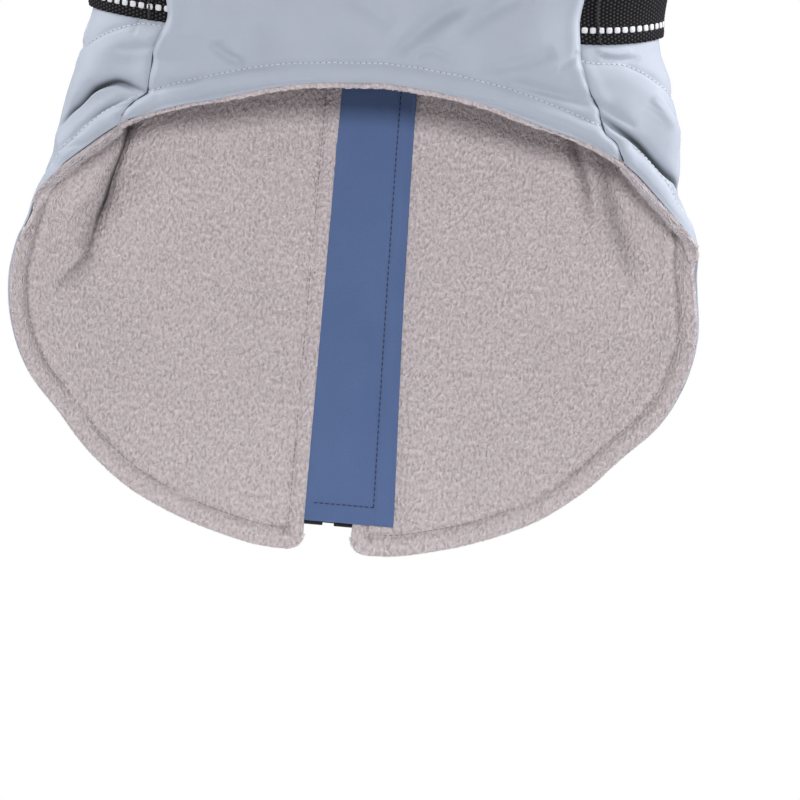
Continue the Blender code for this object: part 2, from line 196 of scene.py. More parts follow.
def outward(angle, drop, step=1.5):
    """The form's normals: the cross product of a short way round it and a short way down it."""
    around = body_point(angle + step, drop) - body_point(angle - step, drop)
    down = body_point(angle, drop + step) - body_point(angle, drop - step)
    return unit(np.cross(around, down))


# %% Edges of the panels
def zip_angle(drop, across=ZIP_HALF):
    """The angle at a distance from the middle of the back: the sine's inverse of across over half width."""
    return np.degrees(np.arcsin(across / follow(FORM, "half_width", drop)))


def seam_angle(side, drop, into=0.0):
    """A belly seam's angle. At the armhole the edge bows away from it by into degrees times a rounded sine."""
    along = np.clip((drop - ARM_TOP) / (ARM_BOTTOM - ARM_TOP), 0, 1)
    return follow(SEAM, side, drop) + into * np.sin(np.pi * along) ** ARM_FULLNESS


def half_gap(drop):
    """Half the gap at the belly seam, as an angle."""
    return SEAM_GAP / 2 / np.linalg.norm(body_point(132, drop) - body_point(131, drop), axis=-1)


def last_angle(side):
    """The angle where a back panel's hem meets the belly seam."""
    return seam_angle(side, SEAM_END) - half_gap(SEAM_END)


def hem_drop(angle):
    """The hem's drop, rounded off by a quarter circle at the corner beside the zip."""
    from_zip = follow(FORM, "half_width", 537.0) * np.sin(np.radians(angle)) - ZIP_HALF
    short = np.clip(CORNER - from_zip, 0, CORNER)
    return follow(HEM, "drop", angle, "angle") - CORNER + np.sqrt(CORNER**2 - short**2)


def by_side(share, made):
    """Values made for the right side where the share is below 0, and for the left side elsewhere."""
    return np.where(share < 0, made("right"), made("left"))


def length_along(points, weights=1.0):
    """The length along a line of points up to each of them, each step counted by its weight."""
    return np.concatenate([[0], np.cumsum(np.linalg.norm(np.diff(points, axis=0), axis=1) * weights)])


def even_shares(points, count):
    """Shares of a line of points that cut it into pieces of equal length."""
    length = length_along(points)
    return np.interp(np.linspace(0, length[-1], count), length, np.linspace(0, 1, len(points)))


# %% [markdown]
# ## The flat pattern
# Thread and pile follow the cloth and not the room, so every point also gets its place on the flat cloth: how
# far it lies round the body from the zip, and how far down. That pair is the cloth's UV map, in metres.

# %% Flat places
TABLE_ANGLES, TABLE_DROPS = np.arange(0, 181, 1.0), np.arange(0, 546, 5.0)
table_steps = np.linalg.norm(np.diff(body_point(TABLE_ANGLES, TABLE_DROPS[:, None]), axis=1), axis=-1)
ROUND_TABLE = np.pad(np.cumsum(table_steps, axis=1), ((0, 0), (1, 0)))


def round_from_zip(angle, drop):
    """Millimetres round the form from the zip, read between the four nearest entries of a table."""
    a = np.clip(np.abs(angle), 0, 179.99)
    d = np.clip(drop / 5.0, 0, len(TABLE_DROPS) - 1.01)
    i, j = d.astype(int), a.astype(int)
    f, g = d - i, a - j
    top = ROUND_TABLE[i, j] * (1 - g) + ROUND_TABLE[i, j + 1] * g
    low = ROUND_TABLE[i + 1, j] * (1 - g) + ROUND_TABLE[i + 1, j + 1] * g
    return np.sign(angle) * (top * (1 - f) + low * f)


def flat_place(angle, drop):
    """The place on the flat cloth: round from the zip and down from the neck, in millimetres."""
    wrapped = np.where(angle > 180, 360 - angle, angle)
    whole = 2 * round_from_zip(np.full_like(drop, 180.0), drop)
    around = np.where(angle > 180, whole - round_from_zip(wrapped, drop), round_from_zip(wrapped, drop))
    return around, np.asarray(drop, float)


def noise(x, y, size, seed):
    """Soft random heights from -1 to 1: a table of random numbers a size apart, joined by smooth steps."""
    table = np.random.default_rng(seed).uniform(-1, 1, (256, 256))
    wide, tall = size if isinstance(size, tuple) else (size, size)
    x, y = x / wide, y / tall
    i, j = np.floor(x).astype(int), np.floor(y).astype(int)
    f, g = x - i, y - j
    f, g = f * f * (3 - 2 * f), g * g * (3 - 2 * g)
    i, j, p, q = i % 256, j % 256, (i + 1) % 256, (j + 1) % 256
    return (table[i, j] * (1 - f) + table[p, j] * f) * (1 - g) + (table[i, q] * (1 - f) + table[p, q] * f) * g


# %% [markdown]
# ## Folds
# A fold is a line on the form, bent through a middle place, and a soft trough or ridge along it. The body's
# folds pass through all the layers. The padding's creases are shallow, so only the outer cloth has them. One
# side of a crease may be steeper than the other, as where cloth laps over itself.

# %% Folds through all the layers: start, middle, end, depth, width, share of the depth at both ends
FOLDS = (
    ((-131, 305), (-117, 309), (-103, 326), 6.0, 8.0, 0.5, 0.5),
    ((-128, 292), (-119, 293), (-108, 301), 2.5, 6.0, 0.4, 0.0),
    ((130, 298), (113, 318), (92, 334), 5.0, 8.0, 0.5, 0.3),
    ((112, 286), (104, 300), (97, 314), -3.5, 9.0, 0.2, 0.2),
    ((-49, 322), (-48, 350), (-56, 394), -5.5, 9.0, 0.8, 0.0),
    ((47, 316), (48.5, 340), (46, 366), -3.0, 10.0, 0.6, 0.0),
    ((-41, 318), (-39, 352), (-44, 392), 3.0, 13.0, 0.7, 0.0),
    ((-150, 262), (-153, 275), (-158, 290), 2.0, 9.0, 0.0, 0.3),
    ((160, 300), (163, 276), (168, 250), -1.8, 9.0, 0.2, 0.0),
    ((176, 296), (172, 270), (168, 235), 1.5, 9.0, 0.2, 0.0),
)


def bell(away, width):
    """1 on a line, and fading to both sides."""
    return np.exp(-((away / width) ** 2))


def nearest(points, line):
    """How far the nearest point of a line is from each point, and which one it is."""
    flat = points.reshape(-1, 3)
    far, which = np.empty(len(flat)), np.empty(len(flat), int)
    for first in range(0, len(flat), 20000):
        some = flat[first:first + 20000]
        square = (some**2).sum(axis=1)[:, None] - 2 * some @ line.T + (line**2).sum(axis=1)
        which[first:first + 20000] = square.argmin(axis=1)
        far[first:first + 20000] = np.sqrt(np.maximum(square.min(axis=1), 0))
    return far.reshape(points.shape[:-1]), which.reshape(points.shape[:-1])


def bent_line(start, middle, end, count=41):
    """Angles and drops of a line through three places: a parabola in each."""
    t = np.linspace(0, 1, count)
    weights = np.stack([(1 - t) * (1 - 2 * t), 4 * t * (1 - t), t * (2 * t - 1)])
    return t, np.array([start, middle, end], float).T @ weights


def fold_height(points):
    """Minus the depth times a bell curve of the distance from each fold's line, fading towards its ends."""
    height = np.zeros(points.shape[:-1])
    for start, middle, end, depth, width, at_start, at_end in FOLDS:
        t, line = bent_line(start, middle, end)
        away, which = nearest(points, body_point(*line))
        strength = np.interp(t[which], (0, 0.35, 0.65, 1), (at_start, 1, 1, at_end))
        height -= depth * strength * bell(away, width)
    return height


def crease_height(points, creases):
    """Like a fold, but with its own width on each side of the line and pointed ends. The first width is for
    the side above the line, or towards +X where it is upright."""
    height = np.zeros(points.shape[:-1])
    for start, middle, end, depth, above, below in creases:
        t, line = bent_line(start, middle, end)
        on_form = body_point(*line)
        sideways = np.cross(outward(*line), np.gradient(on_form, axis=0))
        sideways *= np.sign(sideways @ (0.5, 0.0, 1.0))[:, None]
        away, which = nearest(points, on_form)
        side = ((points - on_form[which]) * sideways[which]).sum(axis=-1)
        width = np.where(side > 0, above, below)
        pointed = np.clip(4 * t * (1 - t) * 1.6, 0, 1)
        height -= depth * pointed[which] * bell(away, width)
    return height


# Soft lobes and troughs of all the layers: start, middle, end, depth, width above or right, width below or left
LOBES = (
    ((-57, 320), (-56, 356), (-59, 392), 3.2, 7.0, 7.0),
    ((-52, 362), (-56, 378), (-62, 392), -2.6, 4.5, 4.5),
    ((54, 322), (56, 335), (57, 349), 1.6, 3.5, 3.5),
    ((-100, 340), (-88, 358), (-79, 388), 4.0, 10.0, 12.0),
    ((130, 298), (113, 318), (92, 334), -3.0, 8.0, 8.0),
    ((-144, 276), (-147, 283), (-152, 288), 2.6, 4.0, 3.0),
    ((161, 246), (170, 258), (181, 281), 3.0, 4.6, 4.2),
    ((147, 236), (155, 246), (167, 266), 2.6, 4.6, 4.2),
    ((156, 247), (165, 259), (174, 275), -1.2, 5.0, 5.0),
    ((143, 266), (151, 273), (163, 281), 2.4, 4.0, 3.2),
    ((157, 284), (146, 288), (133, 294), 2.2, 5.0, 2.6),
    ((190, 236), (183, 252), (178, 262), 1.6, 5.0, 5.0),
    ((-170, 226), (-166, 240), (-158, 252), 1.5, 5.0, 5.0),
)
# Laps, where cloth folds over itself: places along the line with the share of the depth there, then the depth,
# the width above or right, the width below or left, how far the lower or left side is pushed over the line, and
# its core of painted shade: how dark it is painted, its widths on both sides, and how far above or right of the
# line it is. The second inside row has no depth and is only a line of painted shade.
LAPS = {
    "outside": (
        (((-91, 329, 0), (-98, 321, 0.6), (-104, 315, 1), (-110, 307, 1), (-118, 303, 0.8), (-124, 305, 0.5),
          (-131, 308, 0)), 9.0, 2.6, 1.2, 0.9, (1.0, 1.4, 1.0, 1.2)),
        (((134, 297, 0), (128, 304, 0.5), (120, 312, 0.8), (114, 319, 1), (108, 324, 1), (100, 329, 0.9),
          (88, 335, 0)), 8.5, 1.9, 1.1, 0.7, (0.9, 1.3, 1.0, 1.3)),
        (((-129, 311, 0), (-124, 312, 0.8), (-117, 317, 1), (-110, 326, 0)), 2.4, 1.6, 1.0, 0.6,
         (0.35, 0.8, 0.7, 0.8)),
    ),
    "inside": (
        (((-53, 278, 0), (-52, 295, 0.25), (-51, 309, 0.6), (-50, 321, 0.85), (-51, 338, 1), (-50, 352, 1),
          (-49, 365, 0.8), (-49, 378, 0.5), (-49, 389, 0.34), (-51, 400, 0.22), (-57, 413, 0)),
         -10.5, 2.7, 1.2, 0.8, (1.0, 1.0, 2.5, -0.9)),
        (((-51, 318, 0), (-51, 338, 0.5), (-50, 352, 0.8), (-49, 367, 0.9), (-49, 380, 0.8), (-50, 393, 0.7),
          (-53, 403, 0.5), (-58, 415, 0)), 0.0, 1.0, 1.0, 0.0, (0.42, 1.0, 6.0, -0.9)),
        (((41, 282, 0), (42, 302, 0.5), (44, 322, 1), (46, 337, 0.8), (46, 356, 0)), -5.0, 4.2, 2.4, 0.4,
         (0.42, 3.0, 2.6, 0.0)),
        (((50, 300, 0), (51, 318, 1), (52, 342, 0.9), (53, 365, 0.7), (54, 388, 0)), -1.5, 8.0, 6.0, 0.0,
         (0.33, 6.0, 5.0, 0.0)),
    ),
}
# The other layers' share of a lap's depth, and how much wider it is there on both sides
BEHIND_A_LAP = (1.2, 3.2, 5.0)


def beside(points, places):
    """Each point's distance from a smooth line through the places, positive above the line or to its right, the
    share of the depth there, and the direction across the line."""
    angles, drops, shares = zip(*places)
    table = {"t": np.arange(len(places)), "angle": angles, "drop": drops, "share": shares}
    t = np.linspace(0, len(places) - 1, 161)
    line = follow(table, "angle", t, "t"), follow(table, "drop", t, "t")
    on_form = body_point(*line)
    across = unit(np.cross(outward(*line), np.gradient(on_form, axis=0)))
    across *= np.sign(across @ (0.5, 0.0, 1.0))[:, None]
    away, which = nearest(points, on_form)
    side = np.sign(((points - on_form[which]) * across[which]).sum(axis=-1))
    return away * side, follow(table, "share", t, "t")[which], across[which]


LEAN_OF_INSIDE_LAPS = 0.30  # they run straight back, and the form's normal leans aside there


def folded(angle, drop, shows=None):
    """The folded form's points, and the form's normals. The side that shows a lap has it sharp. There the depth
    fades above the line as an exponential, steepest at the line, and below it as a narrow bell curve, and the
    lower edge is pushed over the line so that it hides the bottom. The other layers have a bell curve of the
    same depth."""
    base, normal = body_point(angle, drop), outward(angle, drop)
    height, push = fold_height(base) + crease_height(base, LOBES), np.zeros(base.shape)
    for side, laps in LAPS.items():
        for places, depth, above, below, over, core in laps:
            away, strength, across = beside(base, places)
            if side == shows:
                fade = np.where(away > 0, np.exp(-np.abs(away) / above), np.exp(-((away / below) ** 2)))
                lip = away + 1.6 * below
                moved = strength * over * np.exp(-((lip / np.where(lip > 0, 1.1 * below, 6.0)) ** 2))
                straight = LEAN_OF_INSIDE_LAPS * np.abs(depth) * strength * fade * (side == "inside")
                push += (moved + straight)[..., None] * across
            else:
                share, more_above, more_below = BEHIND_A_LAP
                fade = share * bell(away, np.where(away > 0, 1.6 * above + more_above, below + more_below))
            height -= depth * strength * fade
    return base + push + normal * height[..., None], normal


def painted_lap_shade(angle, drop, side):
    """How strong the painted shade in the cores of the laps is at each place, from 0 to 1: it stands for the
    shade at the bottom of a fold.
    """
    base = body_point(angle, drop)
    painted_shade_so_far = np.zeros(base.shape[:-1])
    for places, depth, above, below, over, (dark, core_above, core_below, shift) in LAPS[side]:
        away, strength, across = beside(base, places)
        core = bell(away - shift, np.where(away > shift, core_above, core_below))
        painted_shade_so_far = np.maximum(painted_shade_so_far, dark * np.clip(1.25 * strength, 0, 1) * core)
    return painted_shade_so_far


def seen_marks(values, count):
    """Values of the seen grid as a mark for all of a wall's points. Its other points get 0."""
    mark = np.zeros(count)
    mark[:values.size] = values.ravel()
    return mark


def layer(angle, drop, height, shows=None):
    """Points of cloth at a height above the folded form."""
    place, normal = folded(angle, drop, shows)
    return place + normal * np.broadcast_to(height, place.shape[:-1])[..., None]


# %% [markdown]
# ## From two grids to a piece of cloth
# A wall of cloth has a face that is seen and a face behind it. The seen face gets a fine grid. The face behind
# gets one place in four, because it lies against other cloth, and a rounded rim closes the edge between them.

# %% A wall of cloth
def border(rows, columns):
    """Grid places once round the border: along the first row, down, back along the last row and up."""
    last_row, last_column = rows - 1, columns - 1
    first = np.zeros(last_column, int), np.zeros(last_row, int)
    i = np.r_[first[0], np.arange(last_row), np.full(last_column, last_row), np.arange(last_row, 0, -1)]
    j = np.r_[np.arange(last_column), np.full(last_row, last_column), np.arange(last_column, 0, -1), first[1]]
    return i, j


def grid_quads(index):
    """The four corners of every cell of a grid of numbers."""
    return np.stack([index[:-1, :-1], index[:-1, 1:], index[1:, 1:], index[1:, :-1]], -1).reshape(-1, 4)


def half_cell_in(grid):
    """The grid with its border drawn in by half a cell."""
    grid = grid.copy()
    grid[0], grid[-1] = (grid[0] + grid[1]) / 2, (grid[-1] + grid[-2]) / 2
    grid[:, 0], grid[:, -1] = (grid[:, 0] + grid[:, 1]) / 2, (grid[:, -1] + grid[:, -2]) / 2
    return grid


def wall(seen, behind, flat, stride=4, steps=5, bulge=None, lift=0.0, rough=0.0, fat=0.0):
    """Points, flat places and faces of a closed wall. The rim is half an ellipse from the seen face to the one
    behind: bulge says how far it stands out past the edge, lift how far its middle leans to the seen side, rough
    how uneven it is, and fat how much thicker than the wall it grows."""
    rows, columns = seen.shape[:2]
    i, j = border(rows, columns)
    inner = np.clip(i, 1, rows - 2), np.clip(j, 1, columns - 2)
    front, back = seen[i, j], behind[i, j]
    half, middle = (front - back) / 2, (front + back) / 2
    across = unit(half)
    out = front - seen[inner]
    out = unit(out - (out * across).sum(axis=-1, keepdims=True) * across)
    bulge = np.linalg.norm(half, axis=-1) if bulge is None else bulge[i, j]
    lift = np.broadcast_to(lift, seen.shape[:2])[i, j]
    fat = np.broadcast_to(fat, seen.shape[:2])[i, j]
    turn = (np.pi * np.arange(1, steps) / steps)[:, None]
    along = np.cumsum(np.linalg.norm(np.diff(front, axis=0, prepend=front[:1]), axis=-1))
    puff = np.ones((len(turn), len(front)))
    if rough:
        puff = 1 + rough * noise(along + 0 * turn, turn * bulge, 1.9, 5)
    sweep = np.sin(turn)[..., None] * (out * bulge[:, None] + across * lift[:, None]) * puff[..., None]
    thicker = (np.cos(turn) * (1 + fat * np.sin(turn)) * puff)[..., None]
    rim = middle + thicker * half + sweep
    step_out = (flat[i, j] - flat[inner]) / np.linalg.norm(front - seen[inner], axis=-1)[:, None]
    rim_flat = flat[i, j] + step_out * (turn * bulge)[..., None]
    hidden, hidden_flat = half_cell_in(behind)[::stride, ::stride], half_cell_in(flat)[::stride, ::stride]
    points = np.concatenate([seen.reshape(-1, 3), rim.reshape(-1, 3), back, hidden.reshape(-1, 3)])
    places = [flat.reshape(-1, 2), rim_flat.reshape(-1, 2), flat[i, j], hidden_flat.reshape(-1, 2)]
    return points, np.concatenate(places), wall_faces(rows, columns, stride, steps)


def wall_faces(rows, columns, stride, steps):
    """Faces of the wall: the seen grid, the rim's rings, a band of many-sided faces to the coarse grid behind,
    and that grid, facing the other way."""
    i, j = border(rows, columns)
    around = len(i)
    first = np.arange(rows * columns).reshape(rows, columns)
    rings = np.vstack([first[i, j], rows * columns + np.arange(steps * around).reshape(steps, around)])
    after = np.roll(rings, -1, axis=1)
    bands = np.stack([after[:-1], rings[:-1], rings[1:], after[1:]], -1).reshape(-1, 4)
    small = (rows - 1) // stride + 1, (columns - 1) // stride + 1
    last = rows * columns + steps * around + np.arange(small[0] * small[1]).reshape(small)
    hidden_ring = last[border(*small)]
    reach = (np.arange(0, around, stride)[:, None] + np.arange(stride, -1, -1)) % around
    fans = np.column_stack([rings[-1][reach], hidden_ring, np.roll(hidden_ring, -1)])
    quads = np.concatenate([grid_quads(first), bands, grid_quads(last)[:, ::-1]])
    return [quads, fans]


# %% A piece from points and faces
coat_pieces = {}


def piece(name, points, faces, material, slot, body="coat", stands_for=(), places=None, marks=None):
    """Makes the mesh, its UV map and marks, and says what it rides on and stands for. Points are millimetres."""
    mesh = bpy.data.meshes.new(name)
    groups = faces if isinstance(faces, list) else [faces]
    mesh.from_pydata((np.asarray(points) * MM).tolist(), [], [f for group in groups for f in group.tolist()])
    if places is not None:
        corner = np.empty(len(mesh.loops), int)
        mesh.loops.foreach_get("vertex_index", corner)
        mesh.uv_layers.new(name="Cut").uv.foreach_set("vector", (places[corner] * MM).ravel())
    for mark, values in (marks or {}).items():
        mesh.attributes.new(mark, "FLOAT", "POINT").data.foreach_set("value", np.asarray(values, float))
    mesh.materials.append(material)
    mesh.shade_smooth()
    made = placed(name, mesh)
    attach(made, body)
    if stands_for:
        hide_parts(*stands_for)
    triangles = sum(len(f) * (f.shape[1] - 2) for f in groups)
    coat_pieces[name] = triangles
    print(f"{name}: {triangles} triangles")
    return made


def cloth(name, seen, behind, flat, material, slot, stands_for, towards_body=False, marks=None, **rim):
    """A wall of cloth as a piece. Its faces are turned round where the fine side looks towards the body, and its
    marks are values of the seen grid."""
    points, places, faces = wall(seen, behind, np.stack(flat, -1), **rim)
    if towards_body:
        faces = [f[:, ::-1] for f in faces]
    marks = {mark: seen_marks(values, len(points)) for mark, values in (marks or {}).items()}
    return piece(name, points, faces, material, slot, stands_for=[stands_for], places=places, marks=marks)


# %% [markdown]
# ## Finishes
# Each material is worked out from the cloth's flat place, so thread and pile stay on the cloth when it moves.
# Three effects are used by several materials, so each is a group that is built once: woven threads, uneven
# tint, and fibre ends. The groups put out colours, masks and heights, and the shader stays in the material.

# %% Helpers for node trees
def node(tree, kind, inputs=None, **settings):
    """Adds a node. Settings are its properties. An input that is a socket is linked, and any other is set."""
    made = tree.nodes.new(kind)
    for key, value in settings.items():
        setattr(made, key, value)
    for key, value in (inputs or {}).items():
        if isinstance(value, bpy.types.NodeSocket):
            tree.links.new(value, made.inputs[key])
        else:
            made.inputs[key].default_value = value
    return made


def maths(tree, operation, first, second=0.0, third=0.0):
    """The result of a Math node."""
    return node(tree, "ShaderNodeMath", {0: first, 1: second, 2: third}, operation=operation).outputs[0]


def blend_colours(tree, share, first, second, way="MIX"):
    """The result of a Mix node between two colours."""
    made = node(tree, "ShaderNodeMix", {0: share, 6: first, 7: second}, data_type="RGBA", blend_type=way)
    return made.outputs[2]


def noise_of(tree, place, scale, **more):
    """A Noise Texture node at a place."""
    return node(tree, "ShaderNodeTexNoise", {"Vector": place, "Scale": scale, **more})


def stretched_range(tree, value, low, high, top=1.0):
    """A value brought from low and high to 0 and top, and cut off there."""
    return node(tree, "ShaderNodeMapRange", {"Value": value, 1: low, 2: high, 4: top}).outputs[0]


def moved_by(tree, operation, first, second):
    """The result of a Vector Math node. A scale takes its factor as the second value."""
    return node(tree, "ShaderNodeVectorMath", {0: first, second[0]: second[1]}, operation=operation).outputs[0]


def use_group(tree, group, place, **values):
    """A group's outputs at a place, with its other inputs set to values."""
    made = node(tree, "ShaderNodeGroup", node_tree=group)
    tree.links.new(place, made.inputs["Place"])
    for key, value in values.items():
        made.inputs[key.replace("_", " ")].default_value = value
    return made.outputs


def new_group(name, inputs, outputs):
    """An empty node group with named inputs and outputs."""
    tree = bpy.data.node_groups.new(name, "ShaderNodeTree")
    for label, kind, value in inputs:
        made = tree.interface.new_socket(label, in_out="INPUT", socket_type=f"NodeSocket{kind}")
        if value is not None:
            made.default_value = value
    for label, kind in outputs:
        tree.interface.new_socket(label, in_out="OUTPUT", socket_type=f"NodeSocket{kind}")
    return tree, tree.nodes.new("NodeGroupInput").outputs, tree.nodes.new("NodeGroupOutput").inputs


# %% Woven threads
def make_weave():
    """Plain weave: across a checkerboard of squares, either the lengthwise or the crosswise thread is on top,
    and each thread's height is the size of a sine across it."""
    tree, given, result = new_group(
        "Woven threads",
        [("Place", "Vector", None), ("Threads across", "Float", 2000.0), ("Threads down", "Float", 2000.0)],
        [("Height", "Float"), ("Over", "Float")],
    )
    at = node(tree, "ShaderNodeSeparateXYZ", {0: given["Place"]}).outputs
    across = maths(tree, "MULTIPLY", at[0], given["Threads across"])
    down = maths(tree, "MULTIPLY", at[1], given["Threads down"])
    wave_across = maths(tree, "SINE", maths(tree, "MULTIPLY", across, math.pi))
    wave_down = maths(tree, "SINE", maths(tree, "MULTIPLY", down, math.pi))
    over = maths(tree, "GREATER_THAN", maths(tree, "MULTIPLY", wave_across, wave_down), 0.0)
    lengthwise = maths(tree, "MULTIPLY", over, maths(tree, "ABSOLUTE", wave_across))
    crosswise = maths(tree, "MULTIPLY", maths(tree, "SUBTRACT", 1.0, over), maths(tree, "ABSOLUTE", wave_down))
    tree.links.new(maths(tree, "ADD", lengthwise, crosswise), result["Height"])
    tree.links.new(over, result["Over"])
    return tree


def make_tint():
    """Two sizes of soft noise make a colour lighter and darker in patches, as dyed cloth is."""
    tree, given, result = new_group(
        "Uneven tint",
        [("Place", "Vector", None), ("Colour", "Color", (0.5, 0.5, 0.5, 1)), ("Strength", "Float", 0.1),
         ("Patches", "Float", 30.0)],
        [("Colour", "Color"), ("Patch", "Float")],
    )
    large = noise_of(tree, given["Place"], given["Patches"], Detail=3.0)
    dark = blend_colours(tree, 1.0, given["Colour"], (0.72, 0.73, 0.76, 1), "MULTIPLY")
    patch = stretched_range(tree, large.outputs[0], 0.35, 0.65)
    share = maths(tree, "MULTIPLY", patch, given["Strength"])
    tree.links.new(blend_colours(tree, share, given["Colour"], dark), result["Colour"])
    tree.links.new(patch, result["Patch"])
    return tree


def make_pile():
    """Curly pile: cells a little longer down than across give each tuft its dome, noise bends them into curls
    and gathers them in looser clumps, and a finer noise gives the single hairs."""
    tree, given, result = new_group(
        "Fibre ends",
        [("Place", "Vector", None), ("Curls", "Float", 820.0), ("Bend", "Float", 0.0012)],
        [("Height", "Float"), ("Tips", "Float"), ("Hairs", "Float")],
    )
    larger, smaller = (maths(tree, "MULTIPLY", given["Curls"], size) for size in (0.8, 4.0))
    bender = noise_of(tree, given["Place"], larger)
    moved = moved_by(tree, "SUBTRACT", bender.outputs["Color"], (1, (0.5, 0.5, 0.5)))
    moved = moved_by(tree, "SCALE", moved, ("Scale", given["Bend"]))
    moved = moved_by(tree, "ADD", given["Place"], (1, moved))
    stretched = moved_by(tree, "MULTIPLY", moved, (1, (1.0, 0.6, 1.0)))
    cells = {"Vector": stretched, "Scale": given["Curls"], "Smoothness": 0.6}
    tufts = node(tree, "ShaderNodeTexVoronoi", cells, feature="SMOOTH_F1", voronoi_dimensions="2D")
    loose = noise_of(tree, stretched, larger, Detail=2.0, Roughness=0.5)
    hairs = noise_of(tree, stretched, smaller, Detail=2.0)
    dome = stretched_range(tree, tufts.outputs["Distance"], 0.65, 0.1)
    clump = stretched_range(tree, loose.outputs[0], 0.32, 0.68)
    height = maths(tree, "ADD", maths(tree, "MULTIPLY", dome, 0.3), maths(tree, "MULTIPLY", clump, 0.7))
    fine = maths(tree, "MULTIPLY", hairs.outputs[0], 0.15)
    tree.links.new(maths(tree, "ADD", maths(tree, "MULTIPLY", height, 0.85), fine), result["Height"])
    tree.links.new(height, result["Tips"])
    tree.links.new(hairs.outputs[0], result["Hairs"])
    return tree


WEAVE, TINT, PILE = make_weave(), make_tint(), make_pile()
print("groups:", [g.name for g in (WEAVE, TINT, PILE)])


# %% Materials
def with_painted_shade(tree, colour, dark):
    """The colour, with a dark colour mixed in as painted shade where the mesh is marked for it: the cores of laps
    and grooves.
    """
    painted_shade = node(tree, "ShaderNodeAttribute", attribute_name="painted_shade").outputs["Fac"]
    return blend_colours(tree, painted_shade, colour, (*dark, 1))


def new_material(name, **fixed):
    """A material with one Principled shader. Fixed values are set on the shader's own sockets."""
    made = bpy.data.materials.new(name)
    made.use_nodes = True
    shader = made.node_tree.nodes["Principled BSDF"]
    for key, value in fixed.items():
        shader.inputs[key.replace("_", " ")].default_value = value
    return made, made.node_tree, shader


def cut_place(tree):
    """The place on the flat cloth."""
    return node(tree, "ShaderNodeUVMap", uv_map="Cut").outputs[0]


def bump(tree, shader, height, distance):
    """Feeds a height to the shader as relief, its distance in metres."""
    made = node(tree, "ShaderNodeBump", {"Height": height, "Distance": distance, "Strength": 1.0})
    tree.links.new(made.outputs[0], shader.inputs["Normal"])


def woven_cloth(name, colour, threads, strength, rough, relief, grain=0.12, **fixed):
    """Cloth of fine threads: uneven tint, darker between the threads as painted shade and in random slubs,
    painted shade in the cores of laps, and relief from the weave.
    """
    made, tree, shader = new_material(name, **fixed)
    place = cut_place(tree)
    weave = use_group(tree, WEAVE, place, Threads_across=threads, Threads_down=threads)
    tint = use_group(tree, TINT, place, Colour=(*colour, 1), Strength=strength)
    # Painted shade between the threads, and the darker tone of random slubs
    between = tuple(0.80 * c for c in colour)
    slub = noise_of(tree, place, 1100.0, Detail=2.0).outputs[0]
    low = maths(tree, "MULTIPLY", maths(tree, "SUBTRACT", 1.0, weave["Height"]), 0.3)
    share = maths(tree, "ADD", low, stretched_range(tree, slub, 0.4, 0.6, grain))
    cloth = blend_colours(tree, share, tint["Colour"], (*between, 1))
    # Painted shade: 6 per cent of the cloth's colour where the mesh is marked for the cores of laps
    tree.links.new(with_painted_shade(tree, cloth, tuple(0.06 * c for c in colour)), shader.inputs["Base Color"])
    tree.links.new(maths(tree, "MULTIPLY_ADD", tint["Patch"], 0.08, rough), shader.inputs["Roughness"])
    bump(tree, shader, weave["Height"], relief)
    return made


def pile_cloth(name, colour, shade):
    """Fleece: painted shade between the curls, so their tips stand out lighter, painted shade in the cores of
    laps and along stitching, and a soft sheen from the fibre ends.
    """
    made, tree, shader = new_material(name, Sheen_Weight=0.06, Sheen_Roughness=0.5, Specular_IOR_Level=0.2)
    place = cut_place(tree)
    pile = use_group(tree, PILE, place)
    tint = use_group(tree, TINT, place, Colour=(*colour, 1), Strength=0.12)
    # Painted shade between the curls: the shade colour where the tips are low
    low = maths(tree, "MULTIPLY", maths(tree, "SUBTRACT", 1.0, pile["Tips"]), 0.8)
    cloth = blend_colours(tree, low, tint["Colour"], (*shade, 1))
    # Painted shade in the cores of laps and along the hem's stitching
    tree.links.new(with_painted_shade(tree, cloth, tuple(0.04 * c for c in colour)), shader.inputs["Base Color"])
    tree.links.new(maths(tree, "MULTIPLY_ADD", pile["Hairs"], 0.1, 0.86), shader.inputs["Roughness"])
    bump(tree, shader, pile["Height"], 0.0014)
    return made


SHELL_CLOTH = woven_cloth("shell_softshell", (0.422, 0.462, 0.546), 2600, 0.18, 0.55, 0.00006, Sheen_Weight=0.03)
PLACKET_CLOTH = woven_cloth(
    "placket_softshell", (0.088, 0.150, 0.330), 2200, 0.25, 0.66, 0.00008, 0.4, Sheen_Weight=0.1)
TAPE_CLOTH = woven_cloth("zip_tape_weave", (0.012, 0.012, 0.014), 1600, 0.2, 0.7, 0.00015)
FLEECE = pile_cloth("fleece_pile", (0.75, 0.67, 0.69), (0.35, 0.297, 0.31))


# %% [markdown]
# ## Sewing lines
# The coat is bagged out: shell and fleece are sewn edge to edge, turned, and stitched down again ten
# millimetres in. The stitching sinks into both faces, so each line is kept as angles and drops, and both the
# cloth and the thread are made from it.

# %% Lines on the form
def inset(angle, drop, by):
    """The line moved sideways on the form, to the left of its direction when seen with the neck up. The step
    is square to the line, measured in millimetres round and down."""
    round_step = np.linalg.norm(body_point(angle + 0.5, drop) - body_point(angle - 0.5, drop), axis=-1)
    down_step = np.linalg.norm(body_point(angle, drop + 0.5) - body_point(angle, drop - 0.5), axis=-1)
    go_round, go_down = np.gradient(angle) * round_step, np.gradient(drop) * down_step
    length = np.hypot(go_round, go_down)
    return angle + by * go_down / length / round_step, drop - by * go_round / length / down_step


HEM_STITCH, ZIP_STITCH = 10.0, 8.0
LOW_ZIP = zip_angle(HEM["drop"][0])


